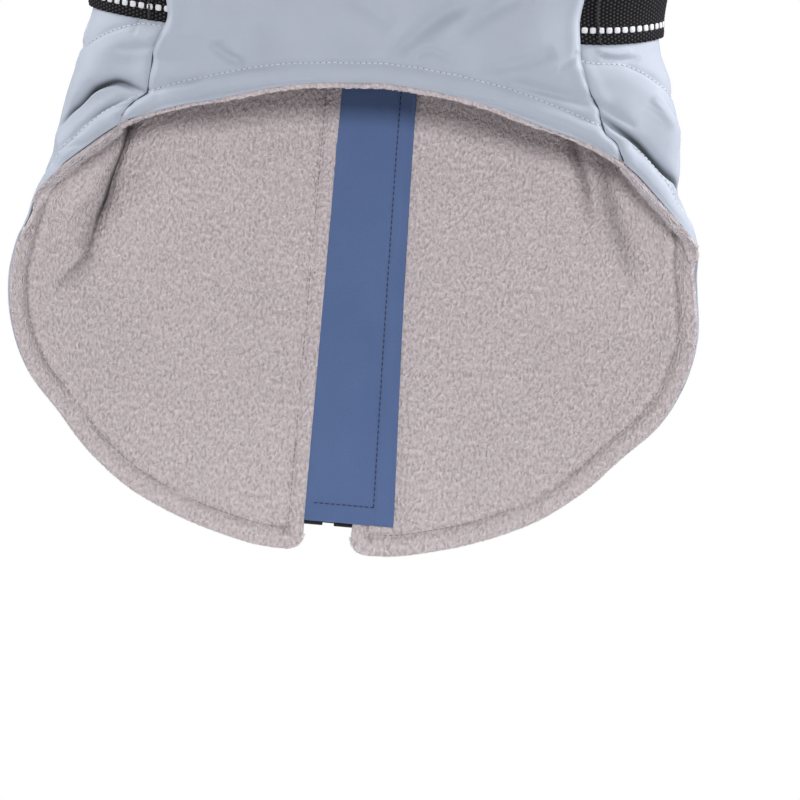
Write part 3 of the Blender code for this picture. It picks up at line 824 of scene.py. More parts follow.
def back_hem(side, count=500):
    """The hem of a back panel, from the zip to the belly seam, as angles and drops of the +X side."""
    high = last_angle(side)
    fine = np.linspace(LOW_ZIP, high, 2000)
    share = even_shares(body_point(fine, hem_drop(fine)), count)
    angle = LOW_ZIP + share * (high - LOW_ZIP)
    return angle, hem_drop(angle)


def belly_hem(count=400):
    """The arched hem from the +X seam to the -X seam."""
    share = np.linspace(-1, 1, count)
    half = 180 - by_side(share, lambda side: seam_angle(side, SEAM_END)) - half_gap(SEAM_END)
    return 180 + share * half, follow(HEM, "drop", 180 - np.abs(share) * half, "angle")


def back_hem_stitch(side, more=0.0):
    """The hem's stitching on a back panel, which starts at the stitching beside the zip. On the inside it is
    more millimetres further in at the side, where the fleece rolls out."""
    hem = back_hem(side)
    angle, drop = inset(*hem, HEM_STITCH + more * np.interp(hem[0], (76, 88, 110, 122), (0, 1, 1, 0)))
    keep = angle > zip_angle(drop, ZIP_HALF + ZIP_STITCH)
    return angle[keep], drop[keep]


def zip_stitch(low=527.5, top=6.0):
    """The stitching beside the zip."""
    drop = np.linspace(top, low, 400)
    return zip_angle(drop, ZIP_HALF + ZIP_STITCH), drop


print("hem of a back panel:", round(float(length_along(body_point(*back_hem("left")))[-1])), "mm")

# %% [markdown]
# ## Places of a panel's grid
# The rows of a panel run from the neck to the hem, and the columns from the zip to the belly seam. Rows crowd
# where there is more to show: at the hem, and round the ends of the armhole.


# %% Grids
def back_places(side, share, t):
    """Angles and drops of a back panel: t runs from the neck to the hem, share from the zip to the seam."""
    high = last_angle(side)
    drop = np.outer(t, hem_drop(LOW_ZIP + share * (high - LOW_ZIP)))
    edge = seam_angle(side, drop, -ARM_INTO_BACK) - half_gap(drop)
    angle = zip_angle(drop) + share * (edge - zip_angle(drop))
    if side == "left":
        return -angle[:, ::-1], drop[:, ::-1]
    return angle, drop


def belly_places(share, t, roll=0.0):
    """Angles and drops of the belly panel. t runs from the neck to the hem at 1, and on to the roll at 2."""
    half = 180 - by_side(share, lambda side: seam_angle(side, SEAM_END)) - half_gap(SEAM_END)
    hem = follow(HEM, "drop", 180 - np.abs(share) * half, "angle")
    drop = np.outer(np.minimum(t, 1), hem) + roll * np.maximum(t - 1, 0)[:, None]
    seam = by_side(share, lambda side: seam_angle(side, drop, ARM_INTO_BELLY))
    return 180 + share * (180 - seam - half_gap(drop)), drop


def crowded(count, places, weights):
    """count + 1 shares from 0 to 1 that lie closer together where the weight is high."""
    fine = np.linspace(0, 1, 4000)
    total = np.concatenate([[0], np.cumsum(np.interp(fine, places, weights))[:-1]])
    return np.interp(np.linspace(0, total[-1], count + 1), total, fine)


def hem_shares(side, count, angles, weights, close=()):
    """Columns of a back panel: evenly spaced along the hem, with its upright part counted less, closer together
    where the weight for the angle is high, and with more at the corner and at the places named as close."""
    high = last_angle(side)
    fine = np.linspace(LOW_ZIP, high, 2000)
    line = body_point(fine, hem_drop(fine)) * (1, 1, 0.4)
    length = length_along(line, np.interp(fine[1:], angles, weights))
    more = np.concatenate([np.linspace(0, 0.045, 10)[1:-1], close])
    even = np.interp(np.linspace(0, length[-1], count + 1 - len(more)), length, np.linspace(0, 1, len(fine)))
    return np.sort(np.concatenate([even, more]))


# %% [markdown]
# ## Fleece lining
# The lining is what shows inside the flap. Its face is a short curly pile: lumps of one to three millimetres
# that stand a little higher or lower, over slow waves where the cloth isn't quite flat. The stitching pulls it
# down into narrow grooves, and the pile rolls out past the shell at the hem.

# %% Pile relief
LINING_IN, LINING_OUT = -2.1, -0.3
ROLLED_MORE = 4.0
PILE_ROUGH = 0.32  # how uneven the rolled edge is


def pile_height(around, down, seed):
    """Three sizes of soft noise: waves, lumps a little longer down than across, and curls."""
    waves = 0.35 * noise(around, down, (34.0, 46.0), seed)
    lumps = 0.10 * noise(around, down, (3.6, 4.6), seed + 1)
    curls = 0.16 * noise(around, down, (1.9, 2.4), seed + 2)
    return waves + lumps + curls


def distance(points, angle, drop):
    """How far the points are from a line of angles and drops."""
    return nearest(points, body_point(angle, drop))[0]


def roll_at(turned):
    """How far the fleece stands out past the hem, by the angle from the zip."""
    return np.interp(turned, (0, 60, 66, 82, 90, 104, 118, 127), (1.0, 1.0, 0.5, 0.6, 4.4, 7.2, 6.6, 4.6))


def lean_at(turned):
    """How far the roll's middle leans outwards, over the shell's edge."""
    return np.interp(turned, (0, 84, 96, 126), (0, 0, 3.0, 2.6))


def fat_at(turned):
    """How much the roll is thicker than the wall."""
    return np.interp(turned, (0, 80, 92, 112, 126), (0.2, 0.2, 0.9, 0.9, 0.6))


def back_fleece(side):
    """The lining of a back panel, fine on the side that faces the body."""
    sign = SIDES[side]
    close = np.linspace(0.350, 0.412, 26)[1:-1] if side == "left" else ()
    share = hem_shares(side, 248 if side == "left" else 236, (0, 84, 92, 130), (1, 1, 0.5, 0.5), close)
    t = crowded(300, (0, 0.42, 0.5, 1), (0.4, 0.45, 1, 1.05))
    angle, drop = back_places(side, share, t)
    base = body_point(angle, drop)
    around, down = flat_place(angle, drop)
    hem, hem_row, zip_row = back_hem(side), back_hem_stitch(side, ROLLED_MORE), zip_stitch()
    hem_away = distance(base, sign * hem[0], hem[1])
    row_away = distance(base, sign * hem_row[0], hem_row[1])
    zip_away = distance(base, sign * zip_row[0], zip_row[1])
    rise = pile_height(around, down, 11 if side == "left" else 21)
    strong = np.interp(np.abs(angle), (0, 48, 60, 84), (1, 1, 1.4, 1.5))
    side_tube = np.interp(np.abs(angle), (0, 78, 90, 112, 124), (1, 1, 2.1, 2.1, 1.3))
    past = hem_away - 4.5 - 1.5 * (side_tube - 1)
    past = np.where(past < 0, past * np.clip(2 - side_tube, 0, 1), past)
    beyond_row = 0.35 * bell(row_away - 4.5, 3.0) * (hem_away > HEM_STITCH)
    rise += 0.95 * strong * side_tube * bell(past, 3.6) + beyond_row
    edge_away = np.abs(np.abs(around) - ZIP_HALF)
    rise += 0.6 * bell(edge_away - 3.4, 3.0) + 0.3 * bell(zip_away - 4.5, 3.0) * (edge_away > ZIP_STITCH)
    uneven = 1 + 0.3 * noise(around, down, 9.0, 14)
    rise = rise * (1 - 0.7 * bell(np.minimum(row_away, zip_away), 1.6))
    rise -= uneven * np.maximum(1.65 * bell(row_away, 1.4 * strong), 1.45 * bell(zip_away, 1.5))
    place, normal = folded(angle, drop, "inside")
    seen = place + normal * (LINING_IN - np.maximum(rise, -1.8))[..., None]
    behind = layer(angle, drop, LINING_OUT)
    turned = np.abs(angle)
    near_hem = t[:, None] > 0.9
    at_seam = (turned > 120) & ((drop < ARM_TOP) | (drop > ARM_BOTTOM))
    bulge = np.where(near_hem, roll_at(turned), np.where(at_seam, 0.15, 0.9))
    lift = -np.where(near_hem, lean_at(turned), 0.0)
    fat = np.where(near_hem, fat_at(turned), 0.0)
    # Painted shade: the dark cores of the inside laps, and a dark line along the hem's stitching, strongest round
    # the side
    shaded = np.interp(turned, (55, 76, 86, 114, 124), (0.1, 0.4, 0.85, 0.85, 0.4))
    painted_shade = np.maximum(painted_lap_shade(angle, drop, "inside"), uneven * bell(row_away, 1.1) * shaded)
    return cloth(
        f"back_fleece_{side}", seen, behind, (around, down), FLEECE, "fleece", f"back_lining_{side}",
        towards_body=True, marks={"painted_shade": painted_shade}, bulge=bulge, lift=lift, steps=7, rough=PILE_ROUGH, fat=fat)


def belly_fleece():
    """The lining of the belly panel. It rolls out under the arched hem."""
    share = np.linspace(-1, 1, 281)
    t = np.r_[crowded(48, (0, 0.8, 0.9, 1), (1, 1, 3, 5)), 1.25, 1.5, 1.75, 2.0]
    angle, drop = belly_places(share, t, 2.3)
    around, down = flat_place(angle, drop)
    out = np.interp(t, (0, 1, 1.4, 2), (0, 0, 1.5, 2.0))[:, None]
    relief = pile_height(around, down, 31)
    seen = layer(angle, drop, LINING_OUT + out + 0.8 * np.where(t[:, None] > 1, relief, 0))
    behind = layer(angle, drop, LINING_IN + 0.4 * out - 0.5 * relief)
    bulge = np.where(t[:, None] > 0.9, 1.6, 0.9) + 0 * drop
    return cloth(
        "belly_fleece", seen, behind, (around, down), FLEECE, "fleece", "belly_lining",
        bulge=bulge, steps=7, rough=PILE_ROUGH)


fleece = {side: back_fleece(side) for side in ("left", "right")}
fleece["belly"] = belly_fleece()

# %% [markdown]
# ## Padded shell
# The shell is one smooth cloth over thin padding. It puffs a little on both sides of the stitching, draws in
# to the seams, and creases where the side bends. Soft slanting troughs run over the belly panel.

# %% Creases of the outer cloth
SHELL_IN, SHELL_OUT = 0.4, 2.2
CREASES = (
    # start, middle, end, depth, width above, width below
    ((-129, 309), (-122, 312), (-110, 325), 1.9, 2.6, 1.2),
    ((-128, 313), (-124, 315), (-119, 319), 1.3, 1.6, 1.0),
    ((-116, 321), (-108, 329), (-105, 336), 1.6, 2.6, 1.2),
    ((-113, 337), (-107, 338), (-98, 343), 1.3, 2.0, 1.2),
    ((-121, 267), (-121, 271), (-122, 277), 1.4, 1.2, 2.0),
    ((-133, 263), (-129, 266), (-124, 268), 1.4, 2.0, 1.8),
    ((-130, 281), (-124, 284), (-114, 285), 1.2, 3.0, 2.0),
    ((132, 303), (126, 307), (119, 312), 1.9, 2.4, 1.2),
    ((135, 291), (128, 296), (121, 303), 1.5, 2.4, 1.4),
    ((112, 319), (107, 326), (101, 329), 1.6, 1.2, 1.6),
    ((102, 329), (95, 333), (87, 337), 1.6, 1.2, 1.6),
    ((112, 283), (108, 293), (103, 303), -1.7, 2.2, 3.0),
    ((131, 263), (125, 265), (117, 262), -1.5, 1.8, 1.4),
    ((130, 266), (124, 268), (114, 266), 1.8, 1.3, 1.6),
    ((-143, 274), (-146, 282), (-153, 288), 0.9, 2.6, 1.8),
    ((175, 279), (171, 272), (166, 278), 1.5, 2.0, 2.4),
    ((156, 284), (146, 288), (134, 294), 1.0, 3.5, 1.8),
    ((137, 265), (140, 270), (144, 276), 1.5, 1.3, 1.8),
    ((-133, 299), (-138, 300), (-143, 297), 1.4, 2.6, 1.8),
    # hidden sides
    ((-22, 120), (-34, 150), (-38, 196), 1.5, 5.0, 2.6),
    ((30, 104), (46, 136), (52, 188), 1.6, 5.0, 2.6),
    ((-60, 262), (-40, 276), (-18, 282), 1.6, 2.6, 3.6),
    ((18, 266), (44, 279), (78, 282), 1.5, 2.6, 3.6),
    ((-75, 300), (-62, 330), (-58, 362), 1.7, 4.6, 2.4),
    ((70, 306), (62, 336), (61, 372), 1.4, 4.6, 2.4),
    ((24, 330), (36, 372), (39, 420), 1.2, 6.0, 4.0),
    ((-26, 340), (-31, 380), (-40, 430), 1.3, 6.0, 4.0),
    ((-92, 108), (-98, 140), (-104, 176), 1.8, 3.0, 2.4),
    ((90, 102), (99, 138), (106, 172), 1.7, 3.0, 2.4),
    ((150, 96), (160, 128), (163, 170), 1.3, 5.0, 4.0),
    ((-152, 90), (-163, 124), (-166, 178), 1.4, 5.0, 4.0),
)


def hem_puff(away, line_away, around, down, seed):
    """Across the hem: drawn in at the edge, puffed up, down at the stitching, puffed up, and level. Along the
    stitching, noise draws it in unevenly."""
    inside = 0.8 * bell(away - 5, 3.2) + 0.7 * bell(away - 16, 5.0)
    pucker = 1 + 0.5 * noise(around, down, (5.0, 6.0), seed)
    return inside - 0.9 * bell(away, 1.2) - 1.1 * pucker * bell(line_away, 1.6)


SIDE_ROW = {"angle": (0, 97, 110, 117, 124, 132, 138), "drop": (292, 284, 277, 273, 270.5, 271, 270)}


def side_row(side):
    """The quilting row below the belt, from the stitching beside the zip round to the belly seam."""
    last = seam_angle(side, 270.0) - 0.6
    angle = np.linspace(zip_angle(292.0, ZIP_HALF + ZIP_STITCH), last, 300)
    return angle, follow(SIDE_ROW, "drop", angle, "angle")


def edge_bulge(t, drop):
    """How far a panel's rim is rounded out: at the neck, the hem and the armhole, but hardly at its seams."""
    open_edge = (t[:, None] < 0.01) | (t[:, None] > 0.99) | ((drop > ARM_TOP + 2) & (drop < ARM_BOTTOM - 2))
    return np.where(open_edge, 1.1, 0.12)


def back_relief(side, angle, drop, base):
    """How far a back panel's outer cloth stands above its solid: hem, stitching, seam, creases, slow waves."""
    sign = SIDES[side]
    around, down = flat_place(angle, drop)
    (hem, hem_low), (row, row_low) = back_hem(side), back_hem_stitch(side)
    away, line_away = distance(base, sign * hem, hem_low), distance(base, sign * row, row_low)
    zip_row, side_line = zip_stitch(), side_row(side)
    rows = np.linspace(0, SEAM_END, 300)
    seam_away = distance(base, sign * seam_angle(side, rows, -ARM_INTO_BACK), rows)
    quilting = distance(base, sign * side_line[0], side_line[1])
    slow = 0.5 * noise(around, down, (42.0, 30.0), 41 - 10 * sign)
    relief = hem_puff(away, line_away, around, down, 43) + slow
    relief -= 0.8 * bell(distance(base, sign * zip_row[0], zip_row[1]), 1.6)
    relief -= 0.75 * (1 + 0.5 * noise(around, down, 6.0, 47)) * bell(quilting, 1.6)
    relief += 0.5 * bell(quilting - 7, 4.5)
    relief += crease_height(base, CREASES)
    relief -= 1.5 * bell(seam_away, 1.3) - 0.5 * bell(seam_away - 4.5, 3.0)
    return np.clip(relief, -1.6, 1.7)


def back_shell(side):
    """The padded outer cloth of a back panel."""
    share = hem_shares(side, 168, (0, 78, 90, 130), (0.6, 0.6, 2.2, 2.2))
    t = crowded(200, (0, 0.55, 0.68, 1), (0.5, 0.7, 1.7, 1.7))
    angle, drop = back_places(side, share, t)
    base = body_point(angle, drop)
    around, down = flat_place(angle, drop)
    hem, hem_low = back_hem(side)
    away = distance(base, SIDES[side] * hem, hem_low)
    relief = back_relief(side, angle, drop, base)
    place, normal = folded(angle, drop, "outside")
    seen = place + normal * (SHELL_OUT + relief)[..., None]
    clear = 0.8 * np.interp(np.abs(angle), (80, 92), (1, 0)) * np.clip((away - 4) / 6, 0, 1)
    behind = layer(angle, drop, SHELL_IN + clear)
    # The shell is painted dark in the cores of the outside laps, as painted shade
    return cloth(
        f"back_shell_{side}", seen, behind, (around, down), SHELL_CLOTH, "shell", f"back_panel_{side}",
        marks={"painted_shade": painted_lap_shade(angle, drop, "outside")}, bulge=edge_bulge(t, drop))


# %% The belly panel, with loose side edges over the belt
BELT_TUCK = 6.5
BELLY_LIFT, LIFT_PAST_BELT, LIFT_FADE = 5.6, 2.5, 15.0
LIFT_DROPS = (194, 209, 274, 288)


def over_belt(angle, drop):
    """How far the belly panel's side edges are lifted where the belt's ends go under them: a smooth step in
    from the edge, times a level that grows and fades down the seam."""
    seam = by_side(angle - 180, lambda side: seam_angle(side, drop))
    inside = np.abs((angle + 180) % 360 - 180) - seam
    near_edge = 1 - np.clip((inside - BELT_TUCK - LIFT_PAST_BELT) / LIFT_FADE, 0, 1)
    return BELLY_LIFT * near_edge**2 * (3 - 2 * near_edge) * np.interp(drop, LIFT_DROPS, (0, 1, 1, 0))


def belly_relief(angle, drop, base):
    """How far the belly's outer cloth stands above its solid: hem, seams, creases and slow waves."""
    around, down = flat_place(angle, drop)
    away, line_away = distance(base, *belly_hem()), distance(base, *belly_stitch())
    rows = np.linspace(0, SEAM_END, 300)
    seams = [body_point(sign * seam_angle(side, rows, ARM_INTO_BELLY), rows) for side, sign in SIDES.items()]
    seam_away = nearest(base, np.concatenate(seams))[0]
    slow = 0.55 * noise(around + 0.6 * down, down, (46.0, 30.0), 61)
    relief = hem_puff(away, line_away, around, down, 63) + slow + crease_height(base, CREASES)
    relief -= 1.5 * bell(seam_away, 1.3) - 0.6 * bell(seam_away - 4.0, 2.6)
    return np.clip(relief, -1.6, 1.7)


def belly_stitch():
    """The stitching above the arched hem."""
    return inset(*belly_hem(), HEM_STITCH)


def belly_shell():
    """The padded outer cloth of the belly panel."""
    share, t = np.linspace(-1, 1, 321), crowded(140, (0, 0.6, 0.75, 0.9, 1), (0.5, 0.6, 1.6, 2.6, 3.0))
    angle, drop = belly_places(share, t)
    lift = over_belt(angle, drop)
    relief = belly_relief(angle, drop, body_point(angle, drop))
    seen = layer(angle, drop, SHELL_OUT + lift + relief, "outside")
    behind = layer(angle, drop, SHELL_IN + lift)
    bulge = np.maximum(edge_bulge(t, drop), np.interp(drop, LIFT_DROPS, (0, 1.1, 1.1, 0)))
    return cloth(
        "belly_shell", seen, behind, flat_place(angle, drop), SHELL_CLOTH, "shell", "belly_panel", bulge=bulge)


shell = {side: back_shell(side) for side in ("left", "right")}
shell["belly"] = belly_shell()

# %% [markdown]
# ## The inside placket
# A strip of smooth blue cloth keeps the zip off the back. It is sewn under the left fleece and lies loose on
# the right. Its right edge is turned in, so a fold line runs just inside the edge.

# %% Placket
PLACKET_TOP, PLACKET_END, PLACKET_THICK = 2.0, 522.0, 1.2
PLACKET_EDGE = {"drop": (0, 291, 385, 522), "across": (26, 26.5, 28.5, 34)}
PLACKET_RISE = {"across": (-13, -5.5, 8, 40), "height": (-0.6, -1.3, -2.9, -2.9)}
PLACKET_SEWN = {"drop": (0, 291, 385, 522), "across": (18.4, 18.6, 20.0, 23.4)}
PLACKET_LOW = 9.0


def placket_height(across, drop):
    """The inner face: down at the sewn edge, over the right lining, with a raised turned edge, sunk
    stitching and slow waves."""
    from_edge = follow(PLACKET_EDGE, "across", drop) - across
    rise = follow(PLACKET_RISE, "height", across, "across") - PLACKET_THICK
    fold_line = 0.45 * bell(from_edge - 1.5, 0.6)
    sewn_at = follow(PLACKET_SEWN, "across", drop)
    sewn = sewn_at - across
    low = PLACKET_END - PLACKET_LOW - drop
    stitched = 0.4 * np.maximum(bell(sewn, 1.0), np.where(sewn > 0, bell(low, 1.0), 0))
    waves = 0.5 * noise(across, drop, (15.0, 42.0), 71) + 0.10 * noise(across, drop, (4.0, 9.0), 72)
    tuck = drop + 1.3 * (across - sewn_at)
    pucker = 0.3 * np.clip(noise(tuck, 0 * tuck, 6.0, 73), 0, 1) * bell(from_edge - 4.0, 3.0)
    return rise + fold_line + stitched + pucker - waves * (1 - bell(from_edge, 3))


def placket():
    """The blue strip, its seen face towards the body."""
    drop = np.linspace(PLACKET_TOP, PLACKET_END, 201)[:, None]
    left = -ZIP_HALF + SEAM_GAP
    across = left + np.linspace(0, 1, 49) * (follow(PLACKET_EDGE, "across", drop) - left)
    drop = np.broadcast_to(drop, across.shape)
    angle = zip_angle(drop, across)
    seen = layer(angle, drop, placket_height(across, drop))
    behind = layer(angle, drop, follow(PLACKET_RISE, "height", across, "across"))
    return cloth(
        "placket_cloth", seen, behind, (across, drop), PLACKET_CLOTH, "placket", "zip_placket", towards_body=True)


placket_cloth = placket()

# %% [markdown]
# ## Belt of webbing
# The webbing is thick and ribbed. Its ribs run across it, and along each rib short floats of thread stand up
# like a chain of beads, half a step apart from one rib to the next. Two lines of pale reflective thread make
# dashes along it.

# %% Webbing
BELT_IN, BELT_OUT = 3.1, 5.1
BELT_WIDE, BELT_START = 38.0, 15.5
BELT_LINE = {"angle": (0, 90, 135, 180), "left": (227, 243, 249, 250), "right": (227, 234, 242, 244)}
RIB, BEAD = 2.1, 2.1


def belt_line(side, count):
    """The belt's middle line at even steps, as angles and drops of the +X side."""
    first = zip_angle(227.0, BELT_START)
    fine = np.linspace(first, seam_angle(side, 245.0) + BELT_TUCK, 800)
    share = even_shares(body_point(fine, follow(BELT_LINE, side, fine, "angle")), count)
    angle = first + share * (fine[-1] - first)
    return angle, follow(BELT_LINE, side, angle, "angle")


def webbing_relief(along, across):
    """Ribs: the size of a sine along the belt. Beads: a cosine across it, shifted on every other rib."""
    rib = np.abs(np.sin(np.pi * along / RIB))
    bead = np.cos(2 * np.pi * (across / BEAD + 0.5 * (np.floor(along / RIB) % 2)))
    return 0.55 * rib * (0.6 + 0.4 * bead), rib * (0.5 + 0.5 * bead)


def make_webbing_material():
    """Black webbing: the floats are painted lighter than the dark ground by a mark on the mesh, as painted
    highlight on the floats and painted shade in the ground between them.
    """
    made, tree, shader = new_material("webbing_weave", Specular_IOR_Level=0.12)
    weave = use_group(tree, WEAVE, cut_place(tree), Threads_across=2400.0, Threads_down=1200.0)
    floats = node(tree, "ShaderNodeAttribute", attribute_name="floats").outputs["Fac"]
    painted_float_highlight = maths(tree, "POWER", floats, 3.0)
    # Painted highlight on the floats over painted shade in the ground
    light = blend_colours(tree, painted_float_highlight, (0.004, 0.0035, 0.005, 1), (0.125, 0.120, 0.132, 1))
    tree.links.new(light, shader.inputs["Base Color"])
    tree.links.new(maths(tree, "MULTIPLY_ADD", painted_float_highlight, -0.25, 0.8), shader.inputs["Roughness"])
    bump(tree, shader, weave["Height"], 0.00012)
    return made


WEBBING = make_webbing_material()


def webbing(side):
    """Half the belt."""
    line = belt_line(side, 425)
    around = length_along(body_point(*line))
    across = np.linspace(-BELT_WIDE / 2, BELT_WIDE / 2, 65)[:, None]
    drop = line[1] + across
    angle = np.broadcast_to(line[0], drop.shape)
    along = np.broadcast_to(around, drop.shape)
    across = np.broadcast_to(across, drop.shape)
    if side == "left":
        angle, drop, along, across = -angle[:, ::-1], drop[:, ::-1], along[:, ::-1], across[:, ::-1]
    relief, floats = webbing_relief(along, across)
    edge = 0.35 * bell(BELT_WIDE / 2 - np.abs(across), 0.9)
    seen = layer(angle, drop, BELT_OUT - 0.4 + relief - edge)
    behind = layer(angle, drop, BELT_IN)
    # The floats mark says where the webbing is painted lighter, as painted highlight
    return cloth(
        f"webbing_{side}", seen, behind, (along, across), WEBBING, "webbing", f"belt_{side}",
        marks={"floats": floats})


belts = {side: webbing(side) for side in ("left", "right")}

# %% [markdown]
# ## Small things many times over
# Stitches, dashes and zip teeth are one small shape repeated hundreds of times. The shape is made once, each
# copy gets its own directions as a small matrix, and one product of arrays places them all.


# %% Repeated shapes
def ring_quads(index):
    """The four corners of every cell between closed rings of numbers."""
    after = np.roll(index, -1, axis=1)
    return np.stack([index[:-1], after[:-1], after[1:], index[1:]], -1).reshape(-1, 4)


def squared(wave, power):
    """A sine or cosine made fuller: the power of its size, with its sign."""
    return np.sign(wave) * np.abs(wave) ** power


def lathe_bead(length, radius, rings=4, sides=6, flat=1.0, square=2.0):
    """A closed bead along x: rings at even turns from pole to pole of a rounded bar. A ring's radius is the
    half turn's sine to a power that makes it fuller, and flat squashes its height."""
    turn = np.pi * np.arange(1, rings + 1) / (rings + 1)
    x = -np.cos(turn) * length / 2
    r = radius * np.sin(turn) ** (2 / square)
    spin = 2 * np.pi * np.arange(sides) / sides
    x, r = np.broadcast_to(x[:, None], (rings, sides)), r[:, None]
    ring = np.stack([x, r * np.cos(spin), flat * r * np.sin(spin)], -1)
    points = np.concatenate([ring.reshape(-1, 3), [[-length / 2, 0, 0], [length / 2, 0, 0]]])
    index = np.arange(rings * sides).reshape(rings, sides)
    after = np.roll(index, -1, axis=1)
    start, end = rings * sides, rings * sides + 1
    caps = np.concatenate([
        np.stack([after[0], index[0], np.full(sides, start)], -1),
        np.stack([index[-1], after[-1], np.full(sides, end)], -1),
    ])
    return points, [ring_quads(index)[:, ::-1], caps[:, ::-1]]


PAD_LEVELS = ((1.0, -0.6), (1.0, 0.45), (0.86, 0.85), (0.5, 1.0))


def pad_shape(length, width, height, sides=12, square=4.0, levels=PAD_LEVELS):
    """A pad with an oblong plan: rings on a superellipse, each level drawn in by its first number and put at its
    second number times the height, closed at both ends."""
    turn = 2 * np.pi * (np.arange(sides) + 0.5) / sides
    x = squared(np.cos(turn), 2 / square) * length / 2
    y = squared(np.sin(turn), 2 / square) * width / 2
    rings = [np.stack([inwards * x, inwards * y, np.full(sides, up * height)], -1) for inwards, up in levels]
    index = np.arange(len(levels) * sides).reshape(len(levels), sides)
    return np.concatenate(rings), [ring_quads(index), index[-1:], index[:1, ::-1]]


def repeated(shape, centres, along, up):
    """Copies of a shape: its x goes along each copy's line, its z goes up from the cloth, and y is square to
    both."""
    points, faces = shape
    x = unit(along)
    y = unit(np.cross(up, x))
    z = np.cross(x, y)
    copies = centres[:, None]
    for axis, direction in enumerate((x, y, z)):
        copies = copies + points[None, :, axis:axis + 1] * direction[:, None]
    shift = (np.arange(len(centres)) * len(points))[:, None, None]
    return copies.reshape(-1, 3), [(f[None] + shift).reshape(-1, f.shape[1]) for f in faces]


def gathered(parts):
    """Several sets of points and faces as one."""
    points, faces, start = [], [], 0
    for some, their_faces in parts:
        points.append(some)
        faces.extend(f + start for f in their_faces)
        start += len(some)
    return np.concatenate(points), faces


def joined(name, parts, material, slot, **more):
    """One piece of many parts."""
    points, faces = gathered(parts)
    return piece(name, points, faces, material, slot, **more)


def even_places(angle, drop, pitch):
    """Places at an even pitch along a line of angles and drops."""
    length = length_along(body_point(angle, drop))
    at = np.arange(pitch / 2, length[-1], pitch)
    return np.interp(at, length, angle), np.interp(at, length, drop)


STITCH_PITCH = 3.0
STITCH = lathe_bead(2.4, 0.36, rings=3, sides=5, flat=0.8, square=3.0)


def stitches(angle, drop, height, shows=None):
    """A row of stitches along a line. Height is above the folded form, a number or a function of the line."""
    angle, drop = even_places(angle, drop, STITCH_PITCH)
    rise = height(angle, drop) if callable(height) else height
    ahead = layer(angle, drop, rise, shows)
    up = outward(angle, drop) * (1 if shows == "outside" else -1)
    return repeated(STITCH, ahead, np.gradient(ahead, axis=0), up)


# %% [markdown]
# ## Thread
# The thread is close to the cloth's own colour. Between two stitches the needle pulls the thread down into a
# small hole, and a dark bead there is the hole's painted shade.

# %% Thread materials
def thread(name, colour, rough=0.6):
    """Twisted thread: a fine slanting wave over one colour."""
    made, tree, shader = new_material(name, Sheen_Weight=0.1)
    place = node(tree, "ShaderNodeTexCoord").outputs["Object"]
    twist = noise_of(tree, place, 2500.0, Detail=1.0)
    dark = tuple(0.7 * c for c in colour)
    tree.links.new(blend_colours(tree, twist.outputs[0], (*dark, 1), (*colour, 1)), shader.inputs["Base Color"])
    tree.links.new(maths(tree, "MULTIPLY_ADD", twist.outputs[0], 0.2, rough - 0.1), shader.inputs["Roughness"])
    bump(tree, shader, twist.outputs[0], 0.00008)
    return made


SHELL_THREAD = thread("shell_thread", (0.72, 0.76, 0.83))
# Thread coloured dark as the shadow in the seams: painted shadow
SEAM_SHADOW_THREAD = thread("seam_shadow_thread", (0.055, 0.065, 0.10), 0.85)
HOLE_SHADE = thread("needle_hole_shade", (0.15, 0.17, 0.21), 0.9)
FLEECE_THREAD = thread("fleece_thread", (0.36, 0.31, 0.33))
NAVY_THREAD = thread("navy_thread", (0.018, 0.026, 0.075))
BLACK_THREAD = thread("black_thread", (0.008, 0.008, 0.010))
FLEECE_TUFT = thread("fleece_tuft", (0.64, 0.59, 0.62), 0.9)
DASH_THREAD = thread("reflective_thread", (0.66, 0.67, 0.71), 0.45)

# A dark bead in each needle hole stands for its shade: painted shade.
HOLE_SHADE_BEAD = lathe_bead(0.6, 0.28, rings=2, sides=5, flat=0.6)


# %% Stitch rows of the shell
def shell_rows():
    """Every row on the outside of the shell: along the hems and beside the zip."""
    belly = belly_stitch()

    def on_belly(angle, drop):
        base = body_point(angle, drop)
        return SHELL_OUT + over_belt(angle, drop) + belly_relief(angle, drop, base) + 0.22

    def on_back(side):
        return lambda angle, drop: SHELL_OUT + back_relief(side, angle, drop, body_point(angle, drop)) + 0.22

    rows = [(belly, on_belly)]
    for side, sign in SIDES.items():
        for angle, drop in (back_hem_stitch(side), zip_stitch(), side_row(side)):
            rows.append(((sign * angle, drop), on_back(side)))
    return rows


def shell_stitches():
    """Stitches and, half a pitch on, dark beads in the needle holes as painted shade."""
    thread_parts, hole_shade_parts = [], []
    for (angle, drop), height in shell_rows():
        thread_parts.append(stitches(angle, drop, height, "outside"))
        shifted = even_places(angle, drop, STITCH_PITCH)
        middle = [(v[:-1] + v[1:]) / 2 for v in shifted]
        at = layer(*middle, height(*middle) - 0.15, "outside")
        hole_shade_parts.append(repeated(HOLE_SHADE_BEAD, at, np.gradient(at, axis=0), outward(*middle)))
    joined("shell_stitching", thread_parts, SHELL_THREAD, "shell")
    joined("shell_needle_hole_shade", hole_shade_parts, HOLE_SHADE, "shell")


shell_stitches()


# %% Stitch rows of the fleece and the placket
def fleece_stitches():
    """The same rows seen from inside, sunk in the pile."""
    parts = []
    for side, sign in SIDES.items():
        hem, beside = back_hem_stitch(side, ROLLED_MORE), zip_stitch()
        parts.append(stitches(sign * hem[0], hem[1], LINING_IN + 1.45, "inside"))
        parts.append(stitches(sign * beside[0], beside[1], LINING_IN + 1.25, "inside"))
    joined("fleece_stitching", parts, FLEECE_THREAD, "fleece")


